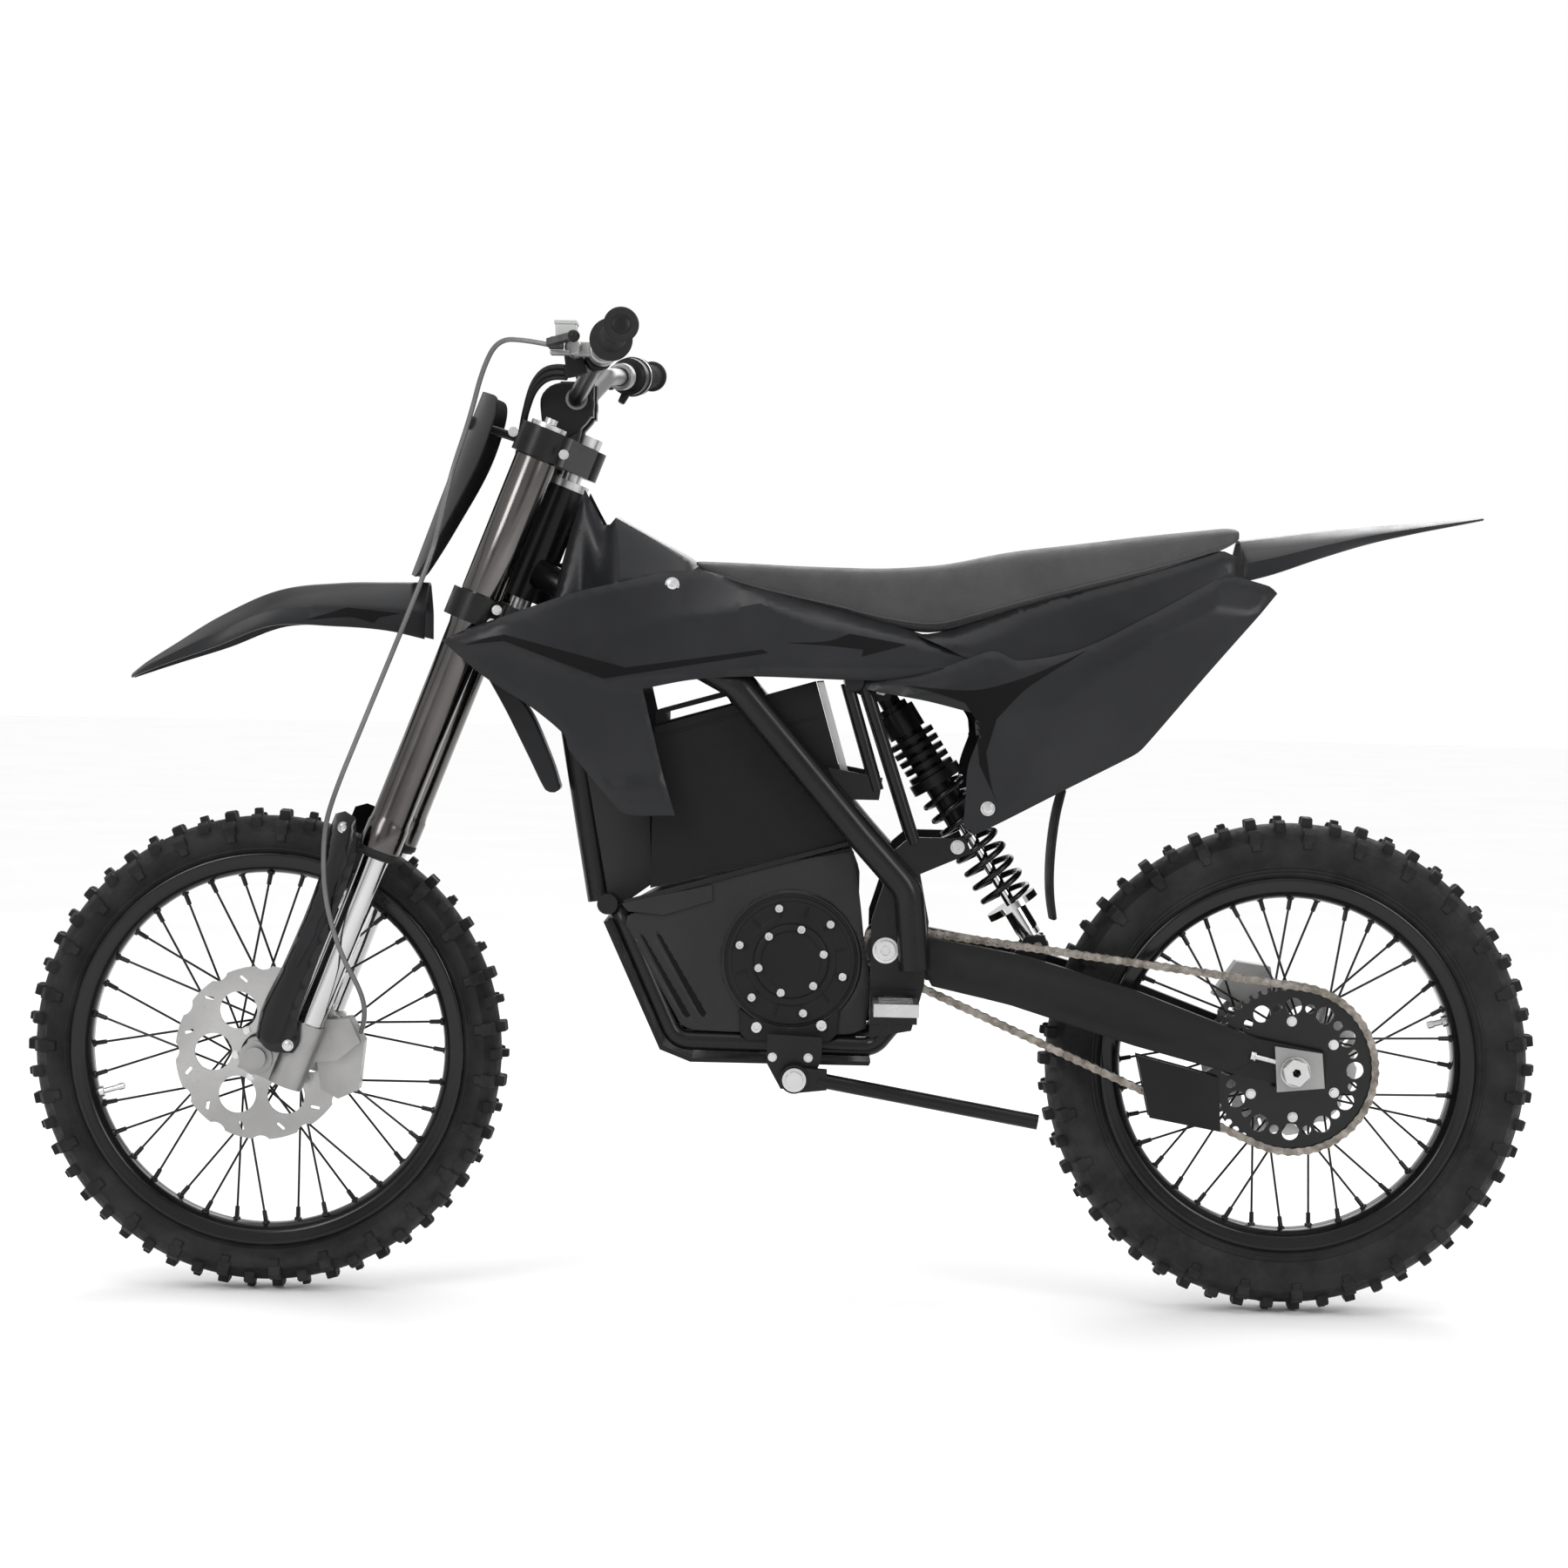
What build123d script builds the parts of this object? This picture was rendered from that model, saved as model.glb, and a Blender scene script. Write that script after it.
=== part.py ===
from build123d import *
import math
import os

# ---------------------------------------------------------------------------
# Electric dirt bike. Millimetres, +Z up, the ground is Z = 0. The front points
# to -X and the left side, with the chain and the side stand, to -Y. The origin
# is the middle of the footprint. Each function makes one named part.
# ---------------------------------------------------------------------------

# Wheels
FRONT_AXLE = (-659.5, 311.0)
REAR_AXLE = (650.5, 320.0)
FRONT_TYRE_R = 311.0
REAR_TYRE_R = 320.0
FRONT_TYRE_WIDTH = 82.0
REAR_TYRE_WIDTH = 96.0
FRONT_RIM_R = 242.0
REAR_RIM_R = 229.0
FRONT_RIM_WIDTH = 46.0
REAR_RIM_WIDTH = 54.0
SPOKES = 36
SPOKE_R = 1.5
FRONT_AXLE_R = 8.0
REAR_AXLE_R = 9.0
AXLE_BORE_R = 5.5
FIT = 0.05
GAP = 0.4

# Fork and steering. "Down" runs from the fork cap along the leg, and
# "ahead" is square to it, towards the front.
FORK_CAP = (-309.0, 1102.0)
FORK_DOWN = (-0.3573, -0.9340)
FORK_AHEAD = (-0.9340, 0.3573)
LEG_Y = 100.0
STEER_AHEAD = -42.0
OUTER_TUBE_R = 26.0
OUTER_TUBE_END = 564.0
STANCHION_R = 18.5
STANCHION_TOP = 300.0
HEAD_TOP = 52.0
HEAD_BOTTOM = 204.0
HEAD_R = 27.0
TOP_CLAMP = (-6.0, 32.0)
BOTTOM_CLAMP = (218.0, 254.0)

# Swingarm and drive
PIVOT = (130.6, 463.0)
PIVOT_BOLT_R = 7.0
CHAIN_Y = -66.0
CHAIN_PITCH = 12.7
FRONT_TEETH = 13
REAR_TEETH = 52
MOTOR = (12.0, 446.0)
MOTOR_R = 82.0
MOTOR_FACE_Y = -92.0

# Shock absorber
SHOCK_TOP = (120.0, 791.0)
SHOCK_FOOT = (327.0, 465.0)
SHOCK_BODY_R = 19.0
SHOCK_ROD_R = 7.0
SPRING_R = 34.0
SPRING_INNER_R = 26.0

# Side stand
STAND_PIVOT = (19.0, 301.0)
STAND_TIP = (325.0, 254.0)

# Foot pegs and handlebar
PEG = (143.0, 398.0)
BAR_CLAMP = (-275.0, 1150.0)
BAR_R = 14.0
BAR_GRIP_R = 11.0
GRIP_R = 16.0

HUB_FLANGE_Y = 34.0
HUB_FLANGE_R = 42.0
HUB_HALF = 70.0
DISC_Y = 56.0
FRONT_DISC_R = 111.0
REAR_DISC_R = 102.0
SPROCKET_BORE_R = HUB_FLANGE_R - 16 + GAP
STEM_R = 13.0
SHOCK_BOLT_R = 6.0
SHOCK_FOOT_BORE = 7.6
SHOCK_LENGTH = math.dist(SHOCK_TOP, SHOCK_FOOT)
SHOCK_DOWN = (
    (SHOCK_FOOT[0] - SHOCK_TOP[0]) / SHOCK_LENGTH,
    (SHOCK_FOOT[1] - SHOCK_TOP[1]) / SHOCK_LENGTH,
)
SHAFT_R = 9.0
HOSE_R = 3.2
AXLE_HALF = 112.0
ARM_INNER_Y = 74.0
ARM_OUTER_Y = 92.0
HOUSING_Y = 84.0
BATTERY_Y = 86.0
GUARD_Y = 134.0
LEVER_PIVOT_Y = 240.0
LEVER_REACH = 54.0
GRIP_END = (-201.0, 398.0, 1214.0)
STRUT_Y = 62.0
PEG_PIN_Y = 117.0
TOWER = (84.0, 800.0)

# Side-view outlines, as (x, z) places
DOWN_TUBE = [(-308, 0, 940), (-232, 0, 512)]
SPAR = [(-322, 20, 930), (-64, 110, 794), (98, 112, 606), (158, 112, 540), (167, 112, 440)]
CRADLE = [(-222, 36, 512), (-205, 74, 500), (-132, 78, 342), (118, 78, 338), (152, 90, 382)]
PIVOT_PLATE = [
    (112, 352), (165, 362), (180, 420), (184, 500), (172, 560), (236, 588), (228, 606),
    (158, 606), (140, 590), (112, 500),
]
TOWER_PLATE = [(80, 810), (80, 788), (112, 774), (130, 776), (136, 792), (126, 808)]
FRAME_TAB = [(52, 692), (122, 680), (118, 652), (72, 652)]
FRAME_STRUTS = [((76, 796), (116, 664)), ((98, 796), (164, 598))]
SEAT_RAIL = [(-110, 58, 862), (70, 62, 836), (205, 62, 838), (560, 58, 938)]
STRUTS = [((84, 62, 813), (84, 62, 838)), ((232, 98, 614), (430, 64, 900))]
RAIL_CROSS = [(-100, 860), (330, 873), (545, 934)]
BATTERY_EDGE = [(-167, 738), (36, 798), (94, 600), (-168, 534)]
BATTERY_CAVITY = [(-160, 733), (31, 789), (86, 605), (-161, 543)]
BATTERY_CELLS = [(-156, 728), (27, 782), (81, 609), (-157, 550)]
HANDLE_EDGE = [(-166, 739), (-166, 758), (-60, 789), (-52, 773)]
HANDLE_GAP = [(-153, 744), (-153, 756), (-76, 778), (-70, 768)]
STRIP_EDGE = [(37, 798), (46, 799), (88, 655), (79, 653)]
HOUSING_EDGE = [
    (-188, 512), (-160, 528), (84, 590), (96, 560), (96, 356), (-90, 358), (-112, 368),
]
COVER_FOOT = [(-58, 402), (80, 402), (66, 353), (-44, 353)]
COVER_FOOT_BOLTS = [(-30, 364), (52, 367)]
SKID_EDGE = [
    (-226, 490), (-152, 330), (-113, 315), (113, 315), (115, 320), (-111, 320), (-148, 335),
    (-221, 492),
]
STAND_BRACKET = [(-16, 355), (53, 352), (53, 325), (38, 286), (2, 286), (-16, 318)]
STAND_SADDLE = [(-10, 352), (48, 350), (48, 328), (-10, 328)]
STAND_CHEEK = [(14, 316), (60, 313), (60, 288), (26, 284)]
PEG_EDGE = [(115, 390), (171, 390), (171, 406), (115, 406)]
PEG_SLOT = [(122, 380), (164, 380), (164, 416), (122, 416)]
PEG_NECK = [(130, 391), (156, 391), (156, 405), (130, 405)]
PEG_BASE = [(112, 370), (172, 370), (172, 414), (112, 414)]
SEAT_EDGE = [
    (-122, 945), (60, 942), (170, 944), (280, 965), (446, 988), (557, 1002), (572, 998),
    (541, 973), (447, 940), (310, 901), (205, 866), (175, 861), (61, 888),
]
SEAT_PLAN = [(-122, 48), (60, 62), (200, 78), (400, 92), (560, 80), (573, 70)]
SEAT_BASE = [
    (61, 886), (175, 859), (205, 864), (310, 899), (447, 938), (541, 971), (541, 964),
    (447, 931), (310, 892), (205, 857), (175, 852), (61, 879),
]
SHROUD_EDGE = [
    (-432, 841), (-358, 871), (-272, 903), (-214, 918), (-135, 932), (-105, 922), (61, 884),
    (150, 858), (168, 808), (96, 801), (-115, 797), (-180, 786), (-169, 742), (-153, 680),
    (-136, 628), (-198, 629), (-221, 650), (-270, 711), (-276, 727), (-315, 759), (-378, 798),
]
SHROUD_PLAN = [(-440, -166), (-330, -168), (-200, -150), (-60, -138), (180, -122)]
SIDE_PANEL_EDGE = [
    (97, 799), (170, 805), (255, 840), (289, 829), (365, 845), (532, 934), (552, 943),
    (608, 930), (614, 922), (527, 820), (446, 723), (342, 666), (260, 624), (238, 616),
    (224, 624), (228, 697), (243, 758), (174, 780), (118, 789),
]
SIDE_PANEL_PLAN = [(90, -128), (228, -136), (342, -126), (620, -95)]
TAIL_TRIM_EDGE = [
    (172, 808), (254, 842.5), (289, 832), (364, 848), (531, 937), (540, 968), (447, 935),
    (310, 896), (205, 861), (154, 857),
]
TAIL_TRIM_PLAN = [(140, -122), (342, -118), (560, -94)]
FLAP_EDGE = [(346, 645), (342, 645), (340, 570), (341, 500), (345, 500), (344, 570)]
BLADE_EDGE = [(-398, 800), (-376, 806), (-282, 655), (-286, 646), (-297, 648)]
PANEL_SCREWS = [(-147, 912, -146.3), (254, 645, -134.6)]
GUARD_EDGE = [
    (-552, 623), (-536, 617), (-537, 566), (-607, 362), (-606, 338), (-640, 346), (-653, 374),
    (-626, 430), (-594, 504), (-577, 560), (-572, 603),
]
ARM_EDGE = [
    (126, 487), (177, 481), (309, 458), (447, 418), (604, 360), (690, 344), (690, 300),
    (667, 296), (566, 317), (447, 348), (309, 390), (200, 424), (126, 439),
]
ARM_CROSS = [(182, 460), (222, 456), (222, 420), (182, 424)]
FOOT_CROSS = [(284, 446), (318, 440), (318, 404), (284, 412)]
FOOT_EAR = [(286, 440), (312, 478), (336, 480), (342, 458), (318, 420)]
AXLE_BLOCK = [(624, 352), (684, 344), (688, 300), (628, 294)]
REAR_GUIDE = [(452, 335), (556, 309), (560, 240), (470, 256)]
REAR_CALIPER = [(560, 402), (590, 446), (634, 440), (640, 412), (606, 384)]
CALIPER_EDGE = [(-596, 356), (-546, 360), (-528, 330), (-534, 268), (-560, 256), (-582, 268)]
CALIPER_ARM = [(-640, 320), (-600, 356), (-546, 360), (-532, 330), (-560, 306), (-630, 300)]

# Fork outlines, as (down, ahead) or (across, down) places
LUG_WEB = [(806, 10), (846, 62), (884, 62), (884, 10)]
GUARD_FRONT = [(552, 52), (556, 56), (760, 62), (760, 58)]
PLATE_EDGE = [(-74, -20), (-80, 60), (-58, 190), (-44, 228), (44, 228)]
RISER_FOOT_CUT = [(-6.3, 60), (-6.3, -110), (80, -110), (80, 60)]

# Fenders and tank cover, as (x, ridge height, edge height, half width)
FRONT_FENDER = [
    (-843, 790, 784, 8), (-798, 824, 803, 38), (-730, 866, 826, 62), (-655, 902, 857, 68),
    (-574, 912, 856, 66), (-470, 915, 848, 56),
]
REAR_FENDER = [
    (576, 994, 940, 84), (668, 1004, 968, 82), (778, 1013, 1001, 56), (884, 1025, 1019, 14),
]
TANK_COVER = [(-254, 1026, 962, 34), (-222, 1000, 934, 62), (-126, 948, 928, 60)]

# Hose and cable routes, as (x, y, z) points
FRONT_HOSE = [
    (-292, -166, 1206), (-392, -128, 1168), (-432, -92, 1064), (-440, -140, 960),
    (-572, -146, 622), (-572, -142, 500), (-526, -128, 400), (-530, -92, 344),
]


def fork_point(down, ahead=0.0, y=0.0):
    """A point in the fork's own directions."""
    x = FORK_CAP[0] + FORK_DOWN[0] * down + FORK_AHEAD[0] * ahead
    z = FORK_CAP[1] + FORK_DOWN[1] * down + FORK_AHEAD[1] * ahead
    return Vector(x, y, z)


def rod(start, end, radius):
    """A round bar between two points."""
    start = Vector(start)
    end = Vector(end)
    plane = Plane(origin=start, z_dir=end - start)
    return extrude(plane * Circle(radius), amount=(end - start).length)


def tube(start, end, outer, inner):
    """A round tube between two points."""
    return rod(start, end, outer) - rod(start, end, inner)


def barrel(centre, y_low, y_high, radius, bore=0.0):
    """A round piece lying across the bike, with an optional bore."""
    x, z = centre
    body = rod((x, y_low, z), (x, y_high, z), radius)
    if bore > 0.0:
        body -= rod((x, y_low - 1, z), (x, y_high + 1, z), bore)
    return body


def plate(outline, y_low, y_high):
    """A flat piece with a side-view outline, between two places across."""
    edge = Polyline(*outline, close=True)
    face = make_face(Plane.XZ.offset(-y_high) * edge)
    return extrude(face, amount=y_high - y_low, dir=(0, -1, 0))


def shell(outline, plan, thickness):
    """A sheet with a side-view outline that follows a line seen from above.

    plan lists (x, y) points from front to rear, on the sheet's outer face.
    """
    inner = []
    for x, y in reversed(plan):
        inner.append((x, y - math.copysign(thickness, y)))
    band = make_face(Polyline(*plan, *inner, close=True))
    wall = extrude(band, amount=1500.0, dir=(0, 0, 1))
    low = min(0.0, *(y for _, y in plan)) - 20.0
    high = max(0.0, *(y for _, y in plan)) + 20.0
    return plate(outline, low, high) & wall


def bent_tube(points, radius, bend):
    """A round tube that follows straight runs joined by equal bends."""
    path = FilletPolyline(*points, radius=bend)
    start = Plane(origin=path @ 0, z_dir=path % 0)
    return sweep(start * Circle(radius), path=path)


def ring_of(count, radius, centre, first=0.0):
    """Side-view places spaced evenly round a centre."""
    places = []
    for index in range(count):
        angle = math.radians(first + 360.0 * index / count)
        x = centre[0] + radius * math.cos(angle)
        z = centre[1] + radius * math.sin(angle)
        places.append((x, z))
    return places


def mirrored(shape):
    """The same piece on the other side of the bike."""
    return mirror(shape, about=Plane.XZ)


def group(*shapes):
    """Separate solids kept together in one node."""
    solids = []
    for shape in shapes:
        solids.extend(shape.solids())
    return Compound(children=solids)


def save(name, shape):
    """Write one node."""
    export_step(shape, f"parts/{name}.step")


# ----------------------------------------------------------------- wheels

def spun(profile, axle):
    """Spin a closed profile of (across, radius) points round an axle."""
    points = [(axle[0] + radius, axle[1], across) for across, radius in profile]
    face = make_face(Polyline(*((x, y, z) for x, z, y in points), close=True))
    axis = Axis((axle[0], 0, axle[1]), (0, 1, 0))
    return revolve(face, axis=axis)


def make_rim(axle, seat_r, width):
    """A drop-centre rim with two flanges."""
    edge = width / 2
    half = [
        (edge - 16, seat_r - 9),
        (edge - 12, seat_r),
        (edge - 4, seat_r),
        (edge - 4, seat_r + 11),
        (edge, seat_r + 11),
        (edge, seat_r - 5),
        (edge - 12, seat_r - 15),
    ]
    other = [(-across, radius) for across, radius in reversed(half)]
    return spun(half + other, axle)


def make_tyre(axle, outer_r, tyre_width, seat_r, rim_width):
    """A hollow tyre standing on the rim's two bead seats."""
    x, z = axle
    bead = rim_width / 2 - 4.3
    foot = seat_r + 0.3
    side = tyre_width / 2
    wall = 9.0
    middle = (foot + outer_r) / 2

    def place(across, radius):
        return Vector(x + radius, across, z)

    shoulder = outer_r - 20
    hollow = [
        (bead - wall, foot - 1),
        (bead - wall, foot + 12),
        (side - wall - 3, middle - 4),
        (side - wall - 3, shoulder - 6),
        (side - 26, shoulder),
    ]
    air = spun(hollow + [(-across, radius) for across, radius in reversed(hollow)], axle)
    edges = [
        Line(place(bead, foot), place(bead, foot + 12)),
        ThreePointArc(place(bead, foot + 12), place(side, middle), place(side - 5, shoulder)),
        ThreePointArc(place(side - 5, shoulder), place(0, outer_r), place(5 - side, shoulder)),
        ThreePointArc(place(5 - side, shoulder), place(-side, middle), place(-bead, foot + 12)),
        Line(place(-bead, foot + 12), place(-bead, foot)),
        Line(place(-bead, foot), place(bead, foot)),
    ]
    return revolve(make_face(Wire(edges)), axis=Axis((x, 0, z), (0, 1, 0))) - air


def make_hub(axle, flange_y, flange_r, half_length, bore_r):
    """A spool hub with two spoke flanges."""
    barrel_r = flange_r - 16
    hub = barrel(axle, -half_length, half_length, barrel_r)
    for side in (-1, 1):
        low = side * flange_y - 1.5
        hub += barrel(axle, low, low + 3.0, flange_r)
    return hub - barrel(axle, -half_length - 1, half_length + 1, bore_r)


def make_spokes(axle, flange_y, flange_r, rim_r):
    """Spokes laced to left and right flanges, each leaning one way or the other."""
    spokes = []
    step = 360.0 / SPOKES
    for index in range(SPOKES):
        side = -1 if index % 2 else 1
        leading = (index // 2) % 2 == 0
        rim_angle = math.radians(index * step)
        lean = math.radians(58.0 if leading else -58.0)
        hub_across = side * (flange_y + (5.2 if leading else -3.4))
        rim_across = side * (9.0 if leading else 4.0)
        hub_end = (
            axle[0] + (flange_r - 3) * math.cos(rim_angle + lean),
            hub_across,
            axle[1] + (flange_r - 3) * math.sin(rim_angle + lean),
        )
        rim_end = (
            axle[0] + rim_r * math.cos(rim_angle),
            rim_across,
            axle[1] + rim_r * math.sin(rim_angle),
        )
        spokes.append(rod(hub_end, rim_end, SPOKE_R))
    return group(*spokes)


def make_disc(axle, across, outer_r, bore_r):
    """A wave-edged brake disc with six arms and drilled slots."""
    plane = Plane(origin=(axle[0], across, axle[1]), x_dir=(1, 0, 0), z_dir=(0, -1, 0))
    face = Circle(outer_r)
    face -= PolarLocations(outer_r + 10, 12) * Circle(15)
    inner_r = outer_r - 25
    window_mid = (inner_r + bore_r + 12) / 2
    window_r = (inner_r - bore_r - 12) / 2
    face -= PolarLocations(window_mid, 6) * Circle(window_r)
    slot = SlotOverall(12, 4, rotation=35)
    face -= PolarLocations(outer_r - 14, 12, start_angle=15) * slot
    face -= Circle(bore_r)
    return extrude(plane * face, amount=3.5)


def make_sprocket(axle, across, teeth, thickness, bore_r, windows):
    """A toothed wheel for a 12.7 mm pitch chain."""
    pitch_r = CHAIN_PITCH / 2 / math.sin(math.pi / teeth)
    plane = Plane(
        origin=(axle[0], across + thickness / 2, axle[1]), x_dir=(1, 0, 0), z_dir=(0, -1, 0)
    )
    face = Circle(pitch_r + 2.6)
    face -= PolarLocations(pitch_r, teeth) * Circle(4.4)
    face -= Circle(bore_r)
    if windows:
        face -= PolarLocations(80, windows) * Circle(11)
        face -= PolarLocations(80, windows, start_angle=180 / windows) * Circle(6)
    return extrude(plane * face, amount=thickness)


def make_wheels():
    """Both wheels, each part its own node."""
    wheels = (
        ("front", FRONT_AXLE, FRONT_RIM_R, FRONT_RIM_WIDTH, FRONT_TYRE_R, FRONT_TYRE_WIDTH),
        ("rear", REAR_AXLE, REAR_RIM_R, REAR_RIM_WIDTH, REAR_TYRE_R, REAR_TYRE_WIDTH),
    )
    for name, axle, rim_r, rim_width, tyre_r, tyre_width in wheels:
        save(f"{name}_rim", make_rim(axle, rim_r, rim_width))
        save(f"{name}_tyre", make_tyre(axle, tyre_r, tyre_width, rim_r, rim_width))
        axle_r = FRONT_AXLE_R if name == "front" else REAR_AXLE_R
        save(f"{name}_hub", make_hub(axle, HUB_FLANGE_Y, HUB_FLANGE_R, HUB_HALF, axle_r + FIT))
        save(f"{name}_spokes", make_spokes(axle, HUB_FLANGE_Y, HUB_FLANGE_R, rim_r - 15.5))
    hub_r = HUB_FLANGE_R - 16
    save("front_disc", make_disc(FRONT_AXLE, -DISC_Y, FRONT_DISC_R, hub_r + GAP))
    save("rear_disc", make_disc(REAR_AXLE, DISC_Y, REAR_DISC_R, hub_r + GAP))
    save(
        "rear_sprocket",
        make_sprocket(REAR_AXLE, CHAIN_Y, REAR_TEETH, 6.0, SPROCKET_BORE_R, 12),
    )


def make_chain():
    """The chain's two side-plate loops round both sprockets, a chain's width apart."""
    plates = []
    front_r = CHAIN_PITCH / 2 / math.sin(math.pi / FRONT_TEETH)
    rear_r = CHAIN_PITCH / 2 / math.sin(math.pi / REAR_TEETH)
    for inner_y, outer_y in ((CHAIN_Y + 4.5, CHAIN_Y + 6.5), (CHAIN_Y - 6.5, CHAIN_Y - 4.5)):
        loops = []
        for offset in (5.5, -5.5):
            front = Pos(PIVOT[0], PIVOT[1]) * Circle(front_r + offset)
            rear = Pos(REAR_AXLE[0], REAR_AXLE[1]) * Circle(rear_r + offset)
            loops.append(make_hull(front.edges() + rear.edges()))
        band = loops[0] - loops[1]
        plates.append(extrude(Plane.XZ.offset(-outer_y) * band, amount=outer_y - inner_y))
    return group(*plates)


# ------------------------------------------------------- fork and steering

def fork_plane(down):
    """A plane square to the fork: local x is ahead, local y is across."""
    ahead = (FORK_AHEAD[0], 0, FORK_AHEAD[1])
    return Plane(origin=fork_point(down), x_dir=ahead, z_dir=(FORK_DOWN[0], 0, FORK_DOWN[1]))


def fork_outline(points):
    """Side-view places from (down, ahead) pairs."""
    places = []
    for down, ahead in points:
        place = fork_point(down, ahead)
        places.append((place.X, place.Z))
    return places


def legs(down_start, down_end, outer, inner=0.0):
    """The same round piece on both fork legs."""
    pieces = []
    for side in (-LEG_Y, LEG_Y):
        start = fork_point(down_start, 0, side)
        end = fork_point(down_end, 0, side)
        if inner > 0.0:
            pieces.append(tube(start, end, outer, inner))
        else:
            pieces.append(rod(start, end, outer))
    return pieces


def make_clamp(span, arm_r, stem_hole_r):
    """A clamp plate that joins both legs to the stem."""
    start, end = span
    middle_r = arm_r * 0.9
    outline = Polygon(
        (STEER_AHEAD - middle_r * 0.7, -middle_r),
        (-arm_r * 0.8, -LEG_Y - arm_r * 0.45),
        (arm_r * 0.9, -LEG_Y),
        (arm_r * 0.35, 0),
        (arm_r * 0.9, LEG_Y),
        (-arm_r * 0.8, LEG_Y + arm_r * 0.45),
        (STEER_AHEAD - middle_r * 0.7, middle_r),
        align=None,
    )
    outline += Pos(0, -LEG_Y) * Circle(arm_r)
    outline += Pos(0, LEG_Y) * Circle(arm_r)
    outline += Pos(STEER_AHEAD, 0) * Circle(middle_r)
    outline -= Pos(0, -LEG_Y) * Circle(OUTER_TUBE_R + FIT)
    outline -= Pos(0, LEG_Y) * Circle(OUTER_TUBE_R + FIT)
    outline -= Pos(STEER_AHEAD, 0) * Circle(stem_hole_r)
    return extrude(fork_plane(start) * outline, amount=end - start)


def make_fork_uppers():
    """Outer tubes, caps, clamps, stem and the bar risers."""
    save("fork_outer_tubes", group(*legs(0, OUTER_TUBE_END, OUTER_TUBE_R, STANCHION_R + FIT)))
    caps = legs(-12, 0, OUTER_TUBE_R - 3)
    adjusters = legs(-20, -12, 8)
    save("fork_caps", group(*(cap + knob for cap, knob in zip(caps, adjusters))))
    top_clamp = make_clamp(TOP_CLAMP, 34.0, STEM_R + FIT)
    bottom_clamp = make_clamp(BOTTOM_CLAMP, 36.0, STEM_R + FIT)
    stem = rod(fork_point(-16, STEER_AHEAD), fork_point(262, STEER_AHEAD), STEM_R)
    nut = rod(fork_point(-20, STEER_AHEAD), fork_point(-7, STEER_AHEAD), 20)
    save("steering_stem", stem + nut)
    risers = []
    for side in (-34, 34):
        foot = (BAR_CLAMP[0] - 10, side, BAR_CLAMP[1] - 55)
        top = (BAR_CLAMP[0], side, BAR_CLAMP[1] - 6)
        block = Pos(BAR_CLAMP[0], side, BAR_CLAMP[1]) * Box(42, 26, 44)
        riser = rod(foot, top, 13) + block
        riser -= barrel(BAR_CLAMP, side - 20, side + 20, BAR_R + FIT)
        riser -= plate(fork_outline(RISER_FOOT_CUT), side - 20, side + 20)
        risers.append(riser)
    save("fork_clamps", group(top_clamp, bottom_clamp, *risers))


def bar_places(side):
    """The handlebar's bends on one side, from the clamp outwards."""
    return [
        (BAR_CLAMP[0], 0, BAR_CLAMP[1]),
        (BAR_CLAMP[0], side * 60, BAR_CLAMP[1]),
        (-246, side * 128, 1192),
        (GRIP_END[0], side * GRIP_END[1], GRIP_END[2]),
    ]


def on_grip(side, across):
    """A point on the bar's straight outer run."""
    start = Vector(*bar_places(side)[2])
    end = Vector(*bar_places(side)[3])
    share = (across - abs(start.Y)) / (abs(end.Y) - abs(start.Y))
    return start + (end - start) * share


def make_bar():
    """Handlebar, grips, brake controls and the switch."""
    left = bar_places(-1)
    right = bar_places(1)
    route = [left[3], left[2], left[1], right[1], right[2], right[3]]
    save("handlebar", bent_tube(route, BAR_GRIP_R, 34.0) + barrel(BAR_CLAMP, -52, 52, BAR_R))
    start = on_grip(-1, 288)
    end = on_grip(-1, 400)
    grip = tube(start, end, GRIP_R, BAR_GRIP_R + FIT)
    flange = tube(start, on_grip(-1, 294), 24, BAR_GRIP_R + FIT)
    end_flange = tube(on_grip(-1, 395), end, 21, BAR_GRIP_R + FIT)
    save("grip_left", grip + flange + end_flange)
    throttle = tube(on_grip(1, 276), on_grip(1, 400), GRIP_R, BAR_GRIP_R + FIT)
    throttle += tube(on_grip(1, 288), on_grip(1, 294), 24, BAR_GRIP_R + FIT)
    save("throttle_grip", throttle)
    housing = tube(on_grip(1, 246), on_grip(1, 284), 24, GRIP_R + GAP)
    housing += tube(on_grip(1, 240), on_grip(1, 262), 22, BAR_GRIP_R + FIT)
    save("bar_controls", group(housing, make_switch_box()))
    masters = []
    levers = {}
    for name, side in (("left", -1), ("right", 1)):
        clamp = tube(on_grip(side, 196), on_grip(side, 218), 18, BAR_GRIP_R + FIT)
        centre = on_grip(side, 207)
        body = Pos(centre.X - 36, side * 207, centre.Z + 2) * Box(34, 62, 22)
        eye = Pos(centre.X - 50, side * LEVER_PIVOT_Y, centre.Z + 2) * Box(26, 26, 22)
        slot = Pos(centre.X - 50, side * (LEVER_PIVOT_Y + 4), centre.Z + 2) * Box(40, 60, 11)
        bore = Pos(centre.X - LEVER_REACH, side * LEVER_PIVOT_Y, centre.Z) * Cylinder(3 + FIT, 40)
        tank = Pos(centre.X - 48, side * 200, centre.Z + 24) * Box(24, 40, 22)
        pin = Pos(centre.X - LEVER_REACH, side * LEVER_PIVOT_Y, centre.Z + 2) * Cylinder(3, 26)
        masters.append(body + clamp + eye - slot - bore + tank)
        masters.append(pin)
        levers[name] = make_lever(side, centre)
    save("brake_masters", group(*masters))
    for name, lever in levers.items():
        save(f"brake_lever_{name}", lever)


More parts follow.
